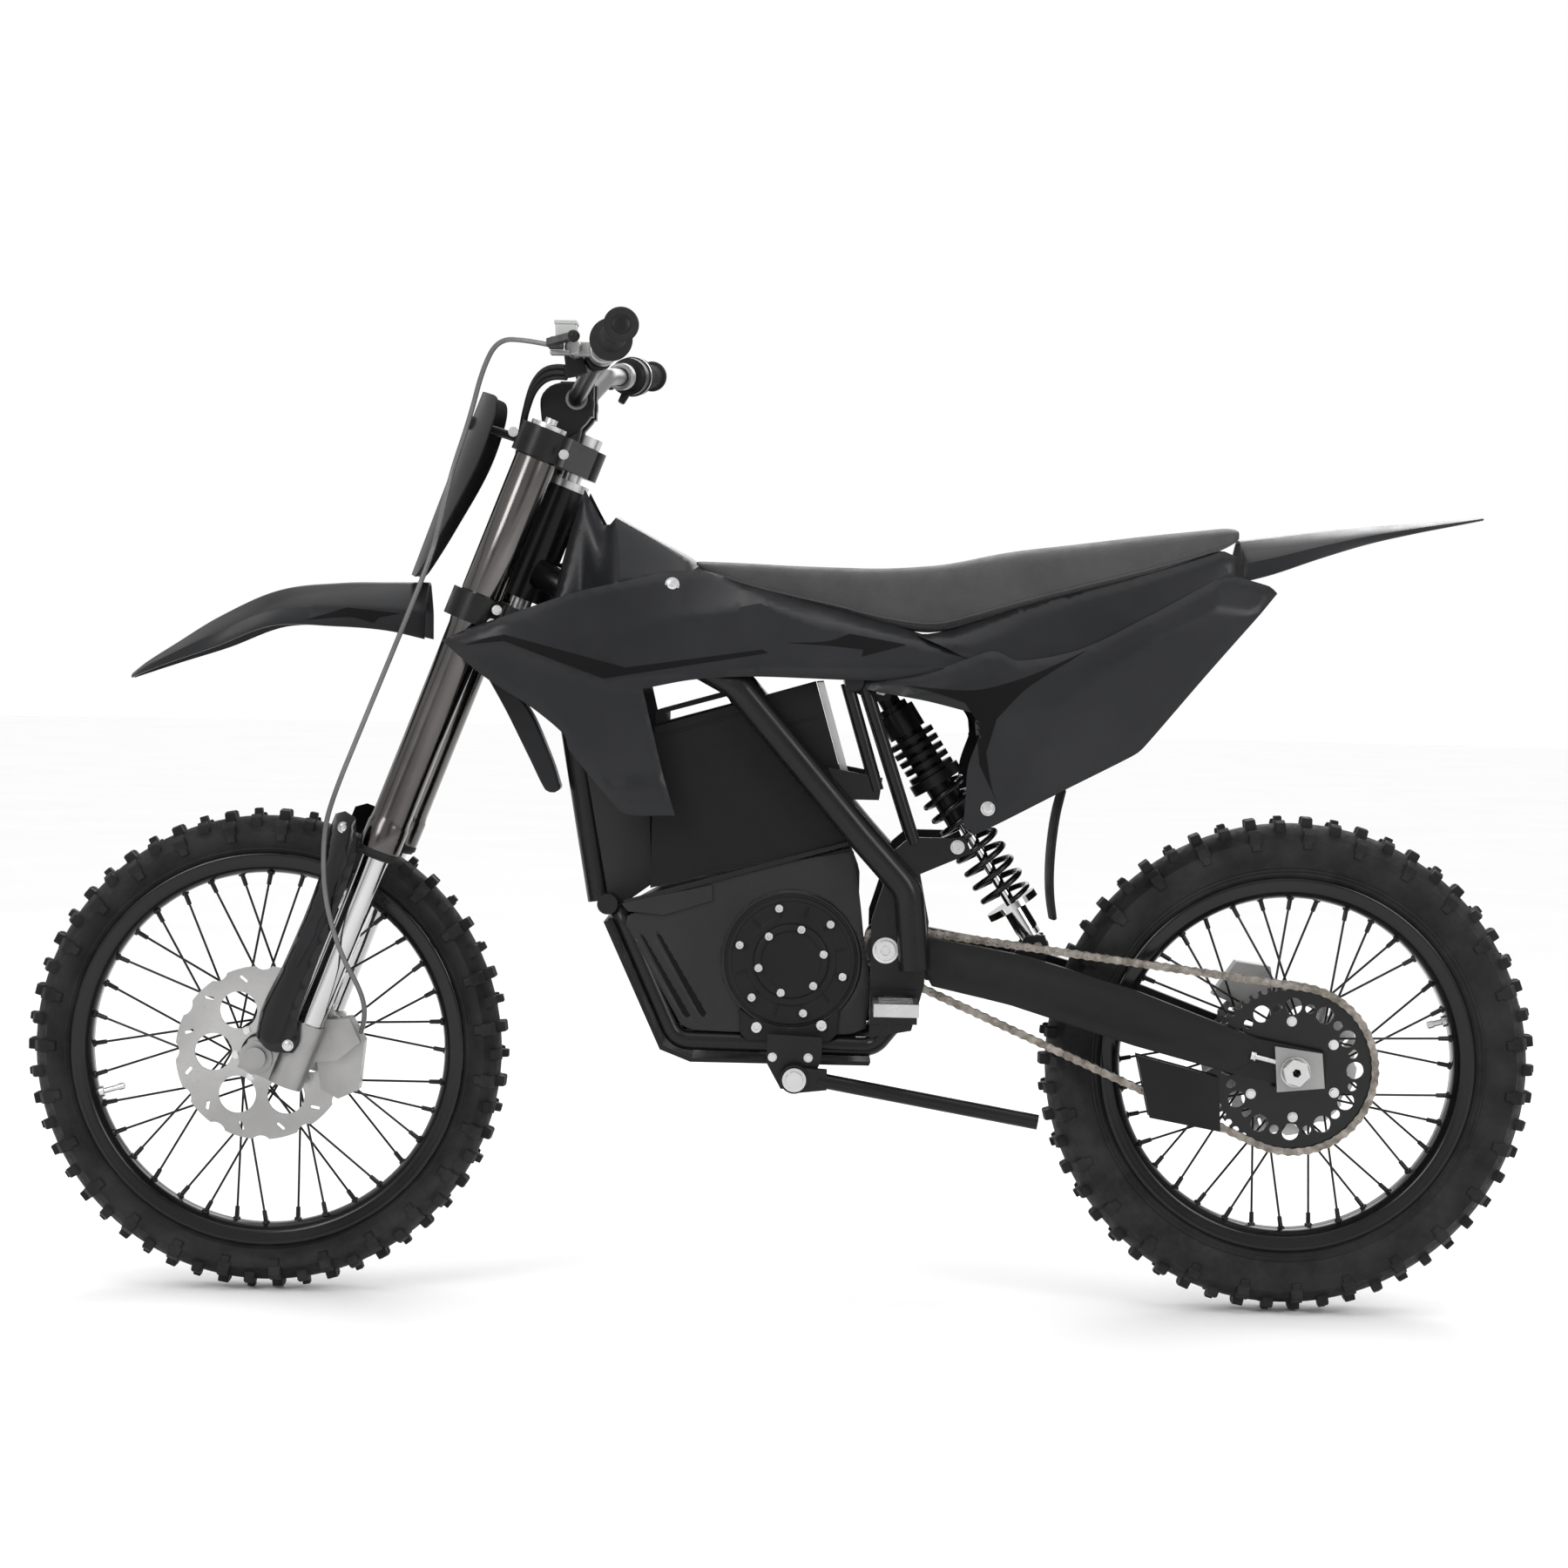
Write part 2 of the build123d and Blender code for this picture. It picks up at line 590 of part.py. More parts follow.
def make_lever(side, centre):
    """A hooked brake lever that swings about an upright pin."""
    x = centre.X - LEVER_REACH
    y = side * LEVER_PIVOT_Y
    tip = on_grip(side, 384)
    outline = [
        (x - 9, y - side * 8),
        (x + 7, y - side * 8),
        (x + 9, y + side * 14),
        (x + 4, y + side * 60),
        (tip.X - 48, side * 384),
        (tip.X - 60, side * 388),
        (x - 9, y + side * 60),
    ]
    face = make_face(Polyline(*outline, close=True))
    blade = Pos(0, 0, centre.Z - 2) * extrude(face, amount=8, dir=(0, 0, 1))
    blade += Pos(tip.X - 54, side * 386, centre.Z + 2) * Sphere(7.5)
    return blade - Pos(x, y, centre.Z) * Cylinder(3 + FIT, 60)


def make_switch_box():
    """A small switch pod clamped to the left half of the bar."""
    inner = on_grip(-1, 142)
    outer = on_grip(-1, 164)
    pod = tube(inner, outer, 17, BAR_GRIP_R + FIT)
    box = Pos(inner.X - 28, -154, inner.Z - 6) * Box(26, 24, 30)
    return pod + box - rod(inner, outer, BAR_GRIP_R + FIT)


def make_number_plate():
    """A curved shield ahead of the fork, with a bracket back to the top clamp."""
    arc = ThreePointArc((62, -84), (104, 0), (62, 84))
    back = ThreePointArc((58, 84), (100, 0), (58, -84))
    joins = [Line((62, 84), (58, 84)), Line((58, -84), (62, -84))]
    band = make_face(Wire([arc, joins[0], back, joins[1]]))
    down = (FORK_DOWN[0], 0, FORK_DOWN[1])
    sheet = extrude(fork_plane(-24) * band, amount=254, dir=down)
    ahead = (FORK_AHEAD[0], 0, FORK_AHEAD[1])
    front = Plane(origin=fork_point(0), x_dir=(0, 1, 0), z_dir=ahead)
    outline = Polyline(*PLATE_EDGE, *((-y, down) for y, down in reversed(PLATE_EDGE)), close=True)
    board = sheet & extrude(front * make_face(outline), amount=140, dir=ahead)
    bracket = rod(fork_point(12, 38), fork_point(12, 101.5), 6)
    lower = rod(fork_point(180, 22), fork_point(180, 101.5), 6)
    return board + bracket + lower


def make_fender(stations, thickness):
    """A fender lofted through arched sections: x, ridge height, edge height, half width."""
    faces = []
    for x, ridge, edge, half in stations:
        drop = ridge - edge
        outer = [
            (-half, edge),
            (-half * 0.72, ridge - drop * 0.45),
            (-half * 0.3, ridge - drop * 0.1),
            (half * 0.3, ridge - drop * 0.1),
            (half * 0.72, ridge - drop * 0.45),
            (half, edge),
        ]
        inner = [(y, z - thickness) for y, z in reversed(outer)]
        points = [(x, y, z) for y, z in outer + inner]
        faces.append(make_face(Polyline(*points, close=True)))
    return loft(faces, ruled=True)


def make_front_hose():
    """The front brake hose, from the left master cylinder down to the caliper."""
    return bent_tube(FRONT_HOSE, HOSE_R, 12.0)


def make_cables():
    """Three leads that run from the bar controls down behind the number plate."""
    leads = []
    for offset in (-8, 0, 8):
        route = [
            (-282, -120 + offset, 1176),
            (-318, -84 + offset, 1168),
            (-338, -44 + offset, 1118),
            (-352, -26 + offset, 1052),
        ]
        leads.append(bent_tube(route, 3.0, 14.0))
    return group(*leads)


def make_front_bodywork():
    """Number plate, high front fender, hose and cables."""
    save("number_plate", make_number_plate())
    save("front_fender", make_fender(FRONT_FENDER, 3.0))
    save("front_brake_hose", make_front_hose())
    save("control_cables", make_cables())


def make_fork_lowers():
    """Stanchions, axle lugs, fork guards, axle and front caliper."""
    save("fork_stanchions", group(*legs(STANCHION_TOP, 838, STANCHION_R, 14.0)))
    lugs = []
    guards = []
    for side in (-1, 1):
        y = side * LEG_Y
        socket = rod(fork_point(800, 0, y), fork_point(884, 0, y), 23)
        eye = barrel(FRONT_AXLE, y - 15, y + 15, 21)
        web = plate(fork_outline(LUG_WEB), y - 12, y + 12)
        lug = socket + eye + web
        lug -= rod(fork_point(700, 0, y), fork_point(838, 0, y), STANCHION_R + FIT)
        lug -= barrel(FRONT_AXLE, y - 30, y + 30, FRONT_AXLE_R + FIT)
        lugs.append(lug)
        outer = side * GUARD_Y
        skin = plate(GUARD_EDGE, min(outer, outer - side * 3), max(outer, outer - side * 3))
        front = plate(fork_outline(GUARD_FRONT), *sorted((y - side * 22, outer)))
        guards.append(skin + front)
    save("fork_guards", group(*guards))
    axle = barrel(FRONT_AXLE, -124, 124, FRONT_AXLE_R)
    for side in (-1, 1):
        axle += barrel(FRONT_AXLE, *sorted((side * 115.2, side * 124)), 14)
    save("axle_lugs", group(*lugs, axle))
    save("front_caliper", make_front_caliper())


def make_front_caliper():
    """The caliper straddles the front disc and bolts to the left lug."""
    body = plate(CALIPER_EDGE, -74, -42)
    slot = plate(CALIPER_EDGE, -DISC_Y - 5.5, -DISC_Y + 2)
    throat = barrel(FRONT_AXLE, -DISC_Y - 5.5, -DISC_Y + 2, FRONT_DISC_R + 3)
    body -= slot & throat
    body += plate(CALIPER_ARM, -84.6, -74)
    leg = rod(fork_point(700, 0, -LEG_Y), fork_point(900, 0, -LEG_Y), 23.3)
    return body - leg


# -------------------------------------------------------- frame and body

def make_main_frame():
    """Head tube, spars, down tube, cradle, pivot plates and shock tower."""
    head = rod(fork_point(HEAD_TOP, STEER_AHEAD), fork_point(HEAD_BOTTOM, STEER_AHEAD), HEAD_R)
    frame = head + rod(*DOWN_TUBE, 20.0)
    cross = [
        barrel((-222, 512), -84, 84, 13),
        barrel((-20, 338), -84, 84, 10),
        barrel(TOWER, -112, 112, 12),
    ]
    for piece in cross:
        frame += piece
    for side in (-1, 1):
        spar = [(x, side * y, z) for x, y, z in SPAR]
        frame += bent_tube(spar, 19.0, 50.0)
        cradle = [(x, side * y, z) for x, y, z in CRADLE]
        frame += bent_tube(cradle, 12.5, 26.0)
        frame += plate(PIVOT_PLATE, *sorted((side * 94, side * 104)))
        frame += plate(TOWER_PLATE, *sorted((side * 17, side * 23)))
        frame += make_peg_bracket(side)
        frame += plate(FRAME_TAB, *sorted((side * 96, side * 104)))
        for top, foot in FRAME_STRUTS:
            frame += rod((top[0], side * 99, top[1]), (foot[0], side * 99, foot[1]), 8.0)
    frame += make_stand_bracket()
    frame -= rod(
        fork_point(HEAD_TOP - 9, STEER_AHEAD), fork_point(HEAD_BOTTOM + 9, STEER_AHEAD), 20
    )
    frame -= barrel(PIVOT, -200, 200, PIVOT_BOLT_R + FIT)
    frame -= barrel(SHOCK_TOP, -40, 40, SHOCK_BOLT_R + FIT)
    return frame


def make_head_bearings():
    """The two steering bearings, seated in the head tube's ends."""
    rings = []
    for start, end in ((HEAD_TOP, HEAD_TOP + 14), (HEAD_BOTTOM - 14, HEAD_BOTTOM)):
        outer = rod(fork_point(start, STEER_AHEAD), fork_point(end, STEER_AHEAD), 20)
        bore_start = fork_point(start - 1, STEER_AHEAD)
        bore_end = fork_point(end + 1, STEER_AHEAD)
        rings.append(outer - rod(bore_start, bore_end, STEM_R + FIT))
    collar_start = fork_point(HEAD_TOP - 10, STEER_AHEAD)
    collar = rod(collar_start, fork_point(HEAD_TOP, STEER_AHEAD), HEAD_R - 1)
    collar -= rod(collar_start, fork_point(HEAD_TOP, STEER_AHEAD), STEM_R + FIT)
    rings[0] += collar
    return group(*rings)


def make_subframe():
    """Two seat rails with their struts and cross tubes."""
    subframe = None
    for side in (-1, 1):
        rail = bent_tube([(x, side * y, z) for x, y, z in SEAT_RAIL], 9.0, 40.0)
        subframe = rail if subframe is None else subframe + rail
        for foot, top in STRUTS:
            start = (foot[0], side * foot[1], foot[2])
            end = (top[0], side * top[1], top[2])
            subframe += rod(start, end, 8.5)
    for place in RAIL_CROSS:
        subframe += barrel(place, -STRUT_Y, STRUT_Y, 8.0)
    return subframe


def make_battery():
    """Battery case with two side covers and a handle, its cells and the cooling strip."""
    wall_y = BATTERY_Y - 6
    ring = plate(BATTERY_EDGE, -wall_y, wall_y) - plate(BATTERY_CAVITY, -BATTERY_Y, BATTERY_Y)
    covers = [plate(BATTERY_EDGE, *sorted((side * wall_y, side * BATTERY_Y))) for side in (-1, 1)]
    save("battery_cells", plate(BATTERY_CELLS, -BATTERY_Y + 10, BATTERY_Y - 10))
    lid = plate(HANDLE_EDGE, -BATTERY_Y + 8, BATTERY_Y - 8)
    lid -= plate(HANDLE_GAP, -BATTERY_Y, BATTERY_Y)
    save("battery_case", group(ring, *covers, lid))
    save("battery_cooling_strip", plate(STRIP_EDGE, -BATTERY_Y + 12, BATTERY_Y - 12))


def make_motor():
    """Housing, stator, rotor and the round cover on the left."""
    housing = plate(HOUSING_EDGE, -HOUSING_Y, HOUSING_Y)
    housing -= barrel(MOTOR, -HOUSING_Y - 1, 46, 72.0)
    housing -= barrel(MOTOR, 40, HOUSING_Y - 10, SHAFT_R + FIT)
    stator = barrel(MOTOR, -60, 40, 71.6, 52.0)
    save("motor_housing", group(housing, stator))
    rotor = barrel(MOTOR, -56, 36, 51.0)
    rotor += barrel(MOTOR, -80, 70, SHAFT_R)
    save("motor_rotor", rotor)
    cover = barrel(MOTOR, MOTOR_FACE_Y, -HOUSING_Y, MOTOR_R)
    cover += barrel(MOTOR, MOTOR_FACE_Y - 5, MOTOR_FACE_Y, 36)
    cover += plate(COVER_FOOT, MOTOR_FACE_Y + 2, -HOUSING_Y)
    cover -= barrel(MOTOR, -82, -60, SHAFT_R + FIT + 6)
    save("motor_cover", cover)


def motor_bolts():
    """Two rings of cover bolts and the two bolts of the cover's foot."""
    bolts = []
    for place in ring_of(6, 42, MOTOR, 13) + ring_of(6, 68, MOTOR, 44):
        bolts.append(barrel(place, MOTOR_FACE_Y - 4, MOTOR_FACE_Y, 5))
    for place in COVER_FOOT_BOLTS:
        bolts.append(barrel(place, MOTOR_FACE_Y - 3, MOTOR_FACE_Y + 2, 6.5))
    return bolts


def make_bodywork():
    """Seat, tank cover, shrouds, side panels, tail trims, fenders and flap."""
    cushion = make_cushion()
    save("seat_cushion", cushion)
    save("seat_base", plate(SEAT_BASE, -62, 62))
    save("tank_cover", make_fender(TANK_COVER, 4.0))
    shroud = shell(SHROUD_EDGE, SHROUD_PLAN, 3.0)
    blade = plate(BLADE_EDGE, -40, 40)
    save("shrouds", group(shroud, mirrored(shroud), blade))
    side = shell(SIDE_PANEL_EDGE, SIDE_PANEL_PLAN, 3.0)
    trim = shell(TAIL_TRIM_EDGE, TAIL_TRIM_PLAN, 3.0)
    save("side_panels", group(side, mirrored(side), trim, mirrored(trim)))
    save("rear_fender", make_fender(REAR_FENDER, 3.0))
    save("mud_flap", plate(FLAP_EDGE, -45, 45))


def panel_screws():
    """One screw head on each shroud and side panel."""
    screws = []
    for x, z, y in PANEL_SCREWS:
        screws.append(barrel((x, z), *sorted((y, y - 4)), 7))
        screws.append(barrel((x, z), *sorted((-y, 4 - y)), 7))
    return screws


def make_cushion():
    """A long seat that narrows at the front, with its sides leaning in."""
    outline = plate(SEAT_EDGE, -130, 130)
    plan = Polyline(*SEAT_PLAN, *((x, -y) for x, y in reversed(SEAT_PLAN)), close=True)
    return outline & extrude(Pos(0, 0, 800) * make_face(plan), amount=300, dir=(0, 0, 1))


def make_frame_fixings():
    """Pivot bolt, shock bolt, cover bolts and the skid plate."""
    bolt = barrel(PIVOT, -104.2, 104.2, PIVOT_BOLT_R)
    for side in (-1, 1):
        bolt += barrel(PIVOT, *sorted((side * 104.2, side * 112)), 13)
    shock_bolt = barrel(SHOCK_TOP, -30, 30, SHOCK_BOLT_R)
    save("frame_fasteners", group(bolt, shock_bolt, *motor_bolts(), *panel_screws()))
    save("skid_plate", plate(SKID_EDGE, -90, 90))


def make_stand_bracket():
    """The bracket welded to the left cradle tube, with the stand's pin."""
    bracket = plate(STAND_BRACKET, -112, -106)
    bracket += plate(STAND_SADDLE, -106, -80)
    bracket += barrel(STAND_PIVOT, -136, -112, 7)
    bracket += barrel(STAND_PIVOT, -140, -136, 13)
    return bracket


def make_peg_bracket(side):
    """Two ears and a pin, welded to the pivot plate, for one foot peg."""
    base = plate(PEG_BASE, *sorted((side * 103, side * 107)))
    for x in (PEG[0] - 22, PEG[0] + 15):
        ear = [(x, PEG[1] - 8.5), (x + 7, PEG[1] - 8.5), (x + 7, PEG[1] + 8.5), (x, PEG[1] + 8.5)]
        base += plate(ear, *sorted((side * 103, side * 125)))
    pin_start = (PEG[0] - 24, side * PEG_PIN_Y, PEG[1])
    return base + rod(pin_start, (PEG[0] + 24, side * PEG_PIN_Y, PEG[1]), 4)


def make_moving_frame_parts():
    """Side stand and foot pegs, which hinge on the frame."""
    start = (STAND_PIVOT[0] + 30, -124, STAND_PIVOT[1] - 1)
    leg = rod(start, (STAND_TIP[0], -134, STAND_TIP[1]), 9.5)
    leg += barrel(STAND_PIVOT, -135, -113, 18)
    leg += plate(STAND_CHEEK, -132, -116)
    leg -= barrel(STAND_PIVOT, -140, -110, 7 + FIT)
    save("kickstand", leg)
    for name, side in (("left", -1), ("right", 1)):
        peg = plate(PEG_EDGE, *sorted((side * 130, side * 212)))
        for step in range(4):
            y = side * (136 + 18 * step)
            peg -= plate(PEG_SLOT, *sorted((y, y + side * 11)))
        y = side * PEG_PIN_Y
        peg += rod((PEG[0] - 14, y, PEG[1]), (PEG[0] + 14, y, PEG[1]), 8)
        peg += plate(PEG_NECK, *sorted((y, side * 130)))
        peg -= rod((PEG[0] - 40, y, PEG[1]), (PEG[0] + 40, y, PEG[1]), 4 + FIT)
        save(f"footpeg_{name}", peg)


# ----------------------------------------------------- swingarm and shock

def shock_point(along, aside=0.0):
    """A side-view place measured down the shock from its top eye."""
    x = SHOCK_TOP[0] + SHOCK_DOWN[0] * along + SHOCK_DOWN[1] * aside
    z = SHOCK_TOP[1] + SHOCK_DOWN[1] * along - SHOCK_DOWN[0] * aside
    return (x, z)


def shock_rod_piece(start, end, radius):
    """A round piece on the shock's centre line."""
    x1, z1 = shock_point(start)
    x2, z2 = shock_point(end)
    return rod((x1, 0, z1), (x2, 0, z2), radius)


def make_shock():
    """Shock body, spring and the rod with its lower fork."""
    body = shock_rod_piece(26, 196, SHOCK_BODY_R) + shock_rod_piece(8, 30, 13)
    body += barrel(SHOCK_TOP, -15, 15, 15)
    body += shock_rod_piece(34, 66, 25)
    for along in (72, 84, 96, 108, 120):
        body += shock_rod_piece(along, along + 7, 31)
    body += shock_rod_piece(128, 142, 35)
    body -= shock_rod_piece(46, 200, SHOCK_ROD_R + FIT)
    body -= barrel(SHOCK_TOP, -20, 20, SHOCK_BOLT_R + FIT)
    save("shock_body", body)
    spring = shock_rod_piece(143, 320, SPRING_R) - shock_rod_piece(142, 321, SPRING_INNER_R)
    save("shock_spring", spring)
    lower = shock_rod_piece(104, 350, SHOCK_ROD_R)
    lower += shock_rod_piece(321, 330, 35)
    lower += shock_rod_piece(330, 362, 15)
    lower += barrel(SHOCK_FOOT, -14, 14, 15)
    lower += shock_rod_piece(355, 372, 14)
    lower -= barrel(SHOCK_FOOT, -20, 20, SHOCK_FOOT_BORE)
    save("shock_rod", lower)


def make_swingarm():
    """Two arms, a cross beam between the chain runs and the shock's lower ears."""
    pieces = [plate(ARM_CROSS, -ARM_INNER_Y, ARM_INNER_Y)]
    for side in (-1, 1):
        span = sorted((side * ARM_INNER_Y, side * ARM_OUTER_Y))
        arm = plate(ARM_EDGE, *span) + barrel(PIVOT, *span, 24)
        arm -= barrel(PIVOT, -120, 120, PIVOT_BOLT_R + FIT)
        pieces.append(arm - barrel(REAR_AXLE, -120, 120, REAR_AXLE_R + FIT))
    foot = plate(FOOT_CROSS, -ARM_INNER_Y, ARM_INNER_Y)
    for side in (-1, 1):
        foot += plate(FOOT_EAR, *sorted((side * 16, side * 23)))
    pieces.append(foot - barrel(SHOCK_FOOT, -30, 30, SHOCK_BOLT_R + FIT))
    return group(*pieces)


def make_rear_fixings():
    """Hollow axle, axle blocks, shock foot bolt, chain guides and caliper."""
    axle = barrel(REAR_AXLE, -AXLE_HALF, AXLE_HALF, REAR_AXLE_R)
    for side in (-1, 1):
        axle += barrel(REAR_AXLE, *sorted((side * 99.2, side * AXLE_HALF)), 17)
    axle -= barrel(REAR_AXLE, -AXLE_HALF - 1, AXLE_HALF + 1, AXLE_BORE_R)
    blocks = []
    for side in (-1, 1):
        block = plate(AXLE_BLOCK, *sorted((side * 92.2, side * 99)))
        blocks.append(block - barrel(REAR_AXLE, -120, 120, REAR_AXLE_R + FIT))
    foot_bolt = barrel(SHOCK_FOOT, -29, 29, SHOCK_BOLT_R)
    save("rear_axle", group(axle, *blocks, foot_bolt))
    inner = plate(REAR_GUIDE, -58, -50)
    outer = plate(REAR_GUIDE, -84, -74.2)
    save("chain_guide", group(inner, outer))
    caliper = plate(REAR_CALIPER, DISC_Y - 16, DISC_Y + 14)
    gap = barrel(REAR_AXLE, DISC_Y - 6, DISC_Y + 2, REAR_DISC_R + 3)
    save("rear_caliper", caliper - gap)


# -------------------------------------------------------------- build it

make_wheels()
save("chain", make_chain())
make_fork_uppers()
make_bar()
make_front_bodywork()
make_fork_lowers()
save("main_frame", make_main_frame())
save("head_bearings", make_head_bearings())
save("subframe", make_subframe())
make_battery()
make_motor()
make_bodywork()
make_frame_fixings()
make_moving_frame_parts()
make_shock()
save("swingarm", make_swingarm())
make_rear_fixings()
save(
    "drive_sprocket",
    make_sprocket(PIVOT, CHAIN_Y, FRONT_TEETH, 6.0, PIVOT_BOLT_R + FIT, 0),
)
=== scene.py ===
import math

import bmesh
import bpy
from mathutils import Matrix, Vector, geometry
from mathutils.bvhtree import BVHTree
from mathutils.kdtree import KDTree


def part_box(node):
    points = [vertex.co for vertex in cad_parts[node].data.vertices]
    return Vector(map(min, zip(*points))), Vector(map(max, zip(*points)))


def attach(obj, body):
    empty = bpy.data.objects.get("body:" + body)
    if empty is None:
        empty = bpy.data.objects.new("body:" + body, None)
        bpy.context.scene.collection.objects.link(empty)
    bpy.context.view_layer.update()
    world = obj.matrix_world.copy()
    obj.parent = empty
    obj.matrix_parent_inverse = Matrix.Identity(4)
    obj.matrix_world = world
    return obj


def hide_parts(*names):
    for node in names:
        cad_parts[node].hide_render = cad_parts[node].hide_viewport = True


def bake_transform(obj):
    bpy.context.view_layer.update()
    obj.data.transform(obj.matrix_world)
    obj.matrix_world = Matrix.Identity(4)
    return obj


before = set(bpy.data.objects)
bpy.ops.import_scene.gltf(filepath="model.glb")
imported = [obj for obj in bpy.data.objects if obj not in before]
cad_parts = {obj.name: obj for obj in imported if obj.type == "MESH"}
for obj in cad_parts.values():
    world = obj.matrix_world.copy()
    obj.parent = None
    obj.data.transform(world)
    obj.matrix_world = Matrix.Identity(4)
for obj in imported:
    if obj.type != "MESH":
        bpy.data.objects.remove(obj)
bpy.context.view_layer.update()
MM = 0.001

# ---------------------------------------------------------------- places
# All places are in millimetres in the CAD frame: -X front, -Y left, +Z up.


def middle(node):
    """The middle of a CAD node's box, in millimetres."""
    low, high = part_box(node)
    return [(a + b) / 2 / MM for a, b in zip(low, high)]


def reach(node, axis):
    """A CAD node's size along an axis, in millimetres."""
    low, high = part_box(node)
    return (high[axis] - low[axis]) / MM


FRONT_AXLE = (middle("front_tyre")[0], middle("front_tyre")[2])
REAR_AXLE = (middle("rear_tyre")[0], middle("rear_tyre")[2])
FRONT_R = reach("front_tyre", 0) / 2
REAR_R = reach("rear_tyre", 0) / 2
FORK_CAP = (-309.0, 1102.0)
FORK_DOWN = Vector((-0.3573, 0, -0.9340))
FORK_AHEAD = Vector((-0.9340, 0, 0.3573))
LEG_Y = 100.0
PIVOT = (middle("drive_sprocket")[0], middle("drive_sprocket")[2])
MOTOR = (middle("motor_rotor")[0], middle("motor_rotor")[2])
CHAIN_Y = middle("rear_sprocket")[1]
CHAIN_PITCH = 12.7
FRONT_TEETH = 13
REAR_TEETH = 52
SHOCK_TOP = Vector((120.0, 0, 791.0))
SHOCK_FOOT = Vector((327.0, 0, 465.0))
ACROSS = Vector((0, 1, 0))
LEFTWARD = (0, -1, 0)
SIDES = ((-1, "left"), (1, "right"))

FRONT_WIDTH = 82.0
REAR_WIDTH = 96.0
FRONT_RIM_R = 242.0
REAR_RIM_R = 229.0
FRONT_RIM_WIDTH = 46.0
REAR_RIM_WIDTH = 54.0
SPOKES = 36
KNOB_ROWS = 54
KNOB_DEPTH = 10.5
LINK_R = 5.2
COIL_START = 146.0
COIL_LENGTH = 172.0
COIL_TURNS = 8.5
COIL_R = 29.6
WIRE_R = 4.1
SHELL = 2.6
TANK_SHELL = 2.4
MOTOR_BACK_Y = -84.2
GRIP_START = 128.0
GRIP_SPAN = 270.0
BAR_BORE = 11.3
BRAKE_HOSE_R = 3.2
CAMERA_ROLL = 1.22


def fork_point(down, ahead=0.0, y=0.0):
    """A point in the fork's own directions."""
    point = Vector((FORK_CAP[0], y, FORK_CAP[1]))
    return point + FORK_DOWN * down + FORK_AHEAD * ahead


# -------------------------------------------------------------- materials

def nodes_of(name):
    """A new material, its node tree and its Principled shader."""
    material = bpy.data.materials.new(name)
    material.use_nodes = True
    tree = material.node_tree
    return material, tree, tree.nodes["Principled BSDF"]


def noise(tree, scale, detail=4.0, stretch=(1, 1, 1)):
    """A noise texture on object coordinates."""
    place = tree.nodes.new("ShaderNodeTexCoord")
    mapping = tree.nodes.new("ShaderNodeMapping")
    mapping.inputs["Scale"].default_value = stretch
    texture = tree.nodes.new("ShaderNodeTexNoise")
    texture.inputs["Scale"].default_value = scale
    texture.inputs["Detail"].default_value = detail
    tree.links.new(place.outputs["Object"], mapping.inputs["Vector"])
    tree.links.new(mapping.outputs["Vector"], texture.inputs["Vector"])
    return texture


def spread(tree, texture, low, high, target):
    """Feeds a texture into a socket, between two values."""
    ramp = tree.nodes.new("ShaderNodeMapRange")
    ramp.inputs["From Min"].default_value = 0.3
    ramp.inputs["From Max"].default_value = 0.7
    ramp.inputs["To Min"].default_value = low
    ramp.inputs["To Max"].default_value = high
    tree.links.new(texture.outputs[0], ramp.inputs["Value"])
    tree.links.new(ramp.outputs["Result"], target)


def tint(tree, texture, dark, light, target):
    """Feeds a texture into a colour socket, between two colours."""
    ramp = tree.nodes.new("ShaderNodeValToRGB")
    ramp.color_ramp.elements[0].position = 0.35
    ramp.color_ramp.elements[0].color = (*dark, 1)
    ramp.color_ramp.elements[1].position = 0.68
    ramp.color_ramp.elements[1].color = (*light, 1)
    tree.links.new(texture.outputs[0], ramp.inputs["Fac"])
    tree.links.new(ramp.outputs["Color"], target)


def relief(tree, shader, texture, depth, strength, edge=0.0):
    """Bump from a texture, over softly rounded edges."""
    bump = tree.nodes.new("ShaderNodeBump")
    bump.inputs["Distance"].default_value = depth
    bump.inputs["Strength"].default_value = strength
    tree.links.new(texture.outputs[0], bump.inputs["Height"])
    if edge > 0.0:
        bevel = tree.nodes.new("ShaderNodeBevel")
        bevel.samples = 3
        bevel.inputs["Radius"].default_value = edge
        tree.links.new(bevel.outputs["Normal"], bump.inputs["Normal"])
    tree.links.new(bump.outputs["Normal"], shader.inputs["Normal"])


def finish_of(
    name, dark, light, rough, metal=0.0, grain=900.0, depth=0.0002, strength=0.25,
    stretch=(1, 1, 1), edge=0.0006, coat=0.0, patch=6.0, specular=0.17,
):
    """A surface with large soft colour patches, varied gloss and a fine grain."""
    material, tree, shader = nodes_of(name)
    shader.inputs["Metallic"].default_value = metal
    shader.inputs["Coat Weight"].default_value = coat
    shader.inputs["Coat Roughness"].default_value = 0.12
    shader.inputs["Specular IOR Level"].default_value = specular
    tint(tree, noise(tree, patch), dark, light, shader.inputs["Base Color"])
    fine = noise(tree, grain, 3.0, stretch)
    blotch = noise(tree, patch * 5)
    spread(tree, blotch, rough[0], rough[1], shader.inputs["Roughness"])
    relief(tree, shader, fine, depth, strength, edge)
    return material


def grey(value, warm=0.0):
    """A near-neutral colour."""
    return (value * (1 + warm), value, value * (1 - warm))


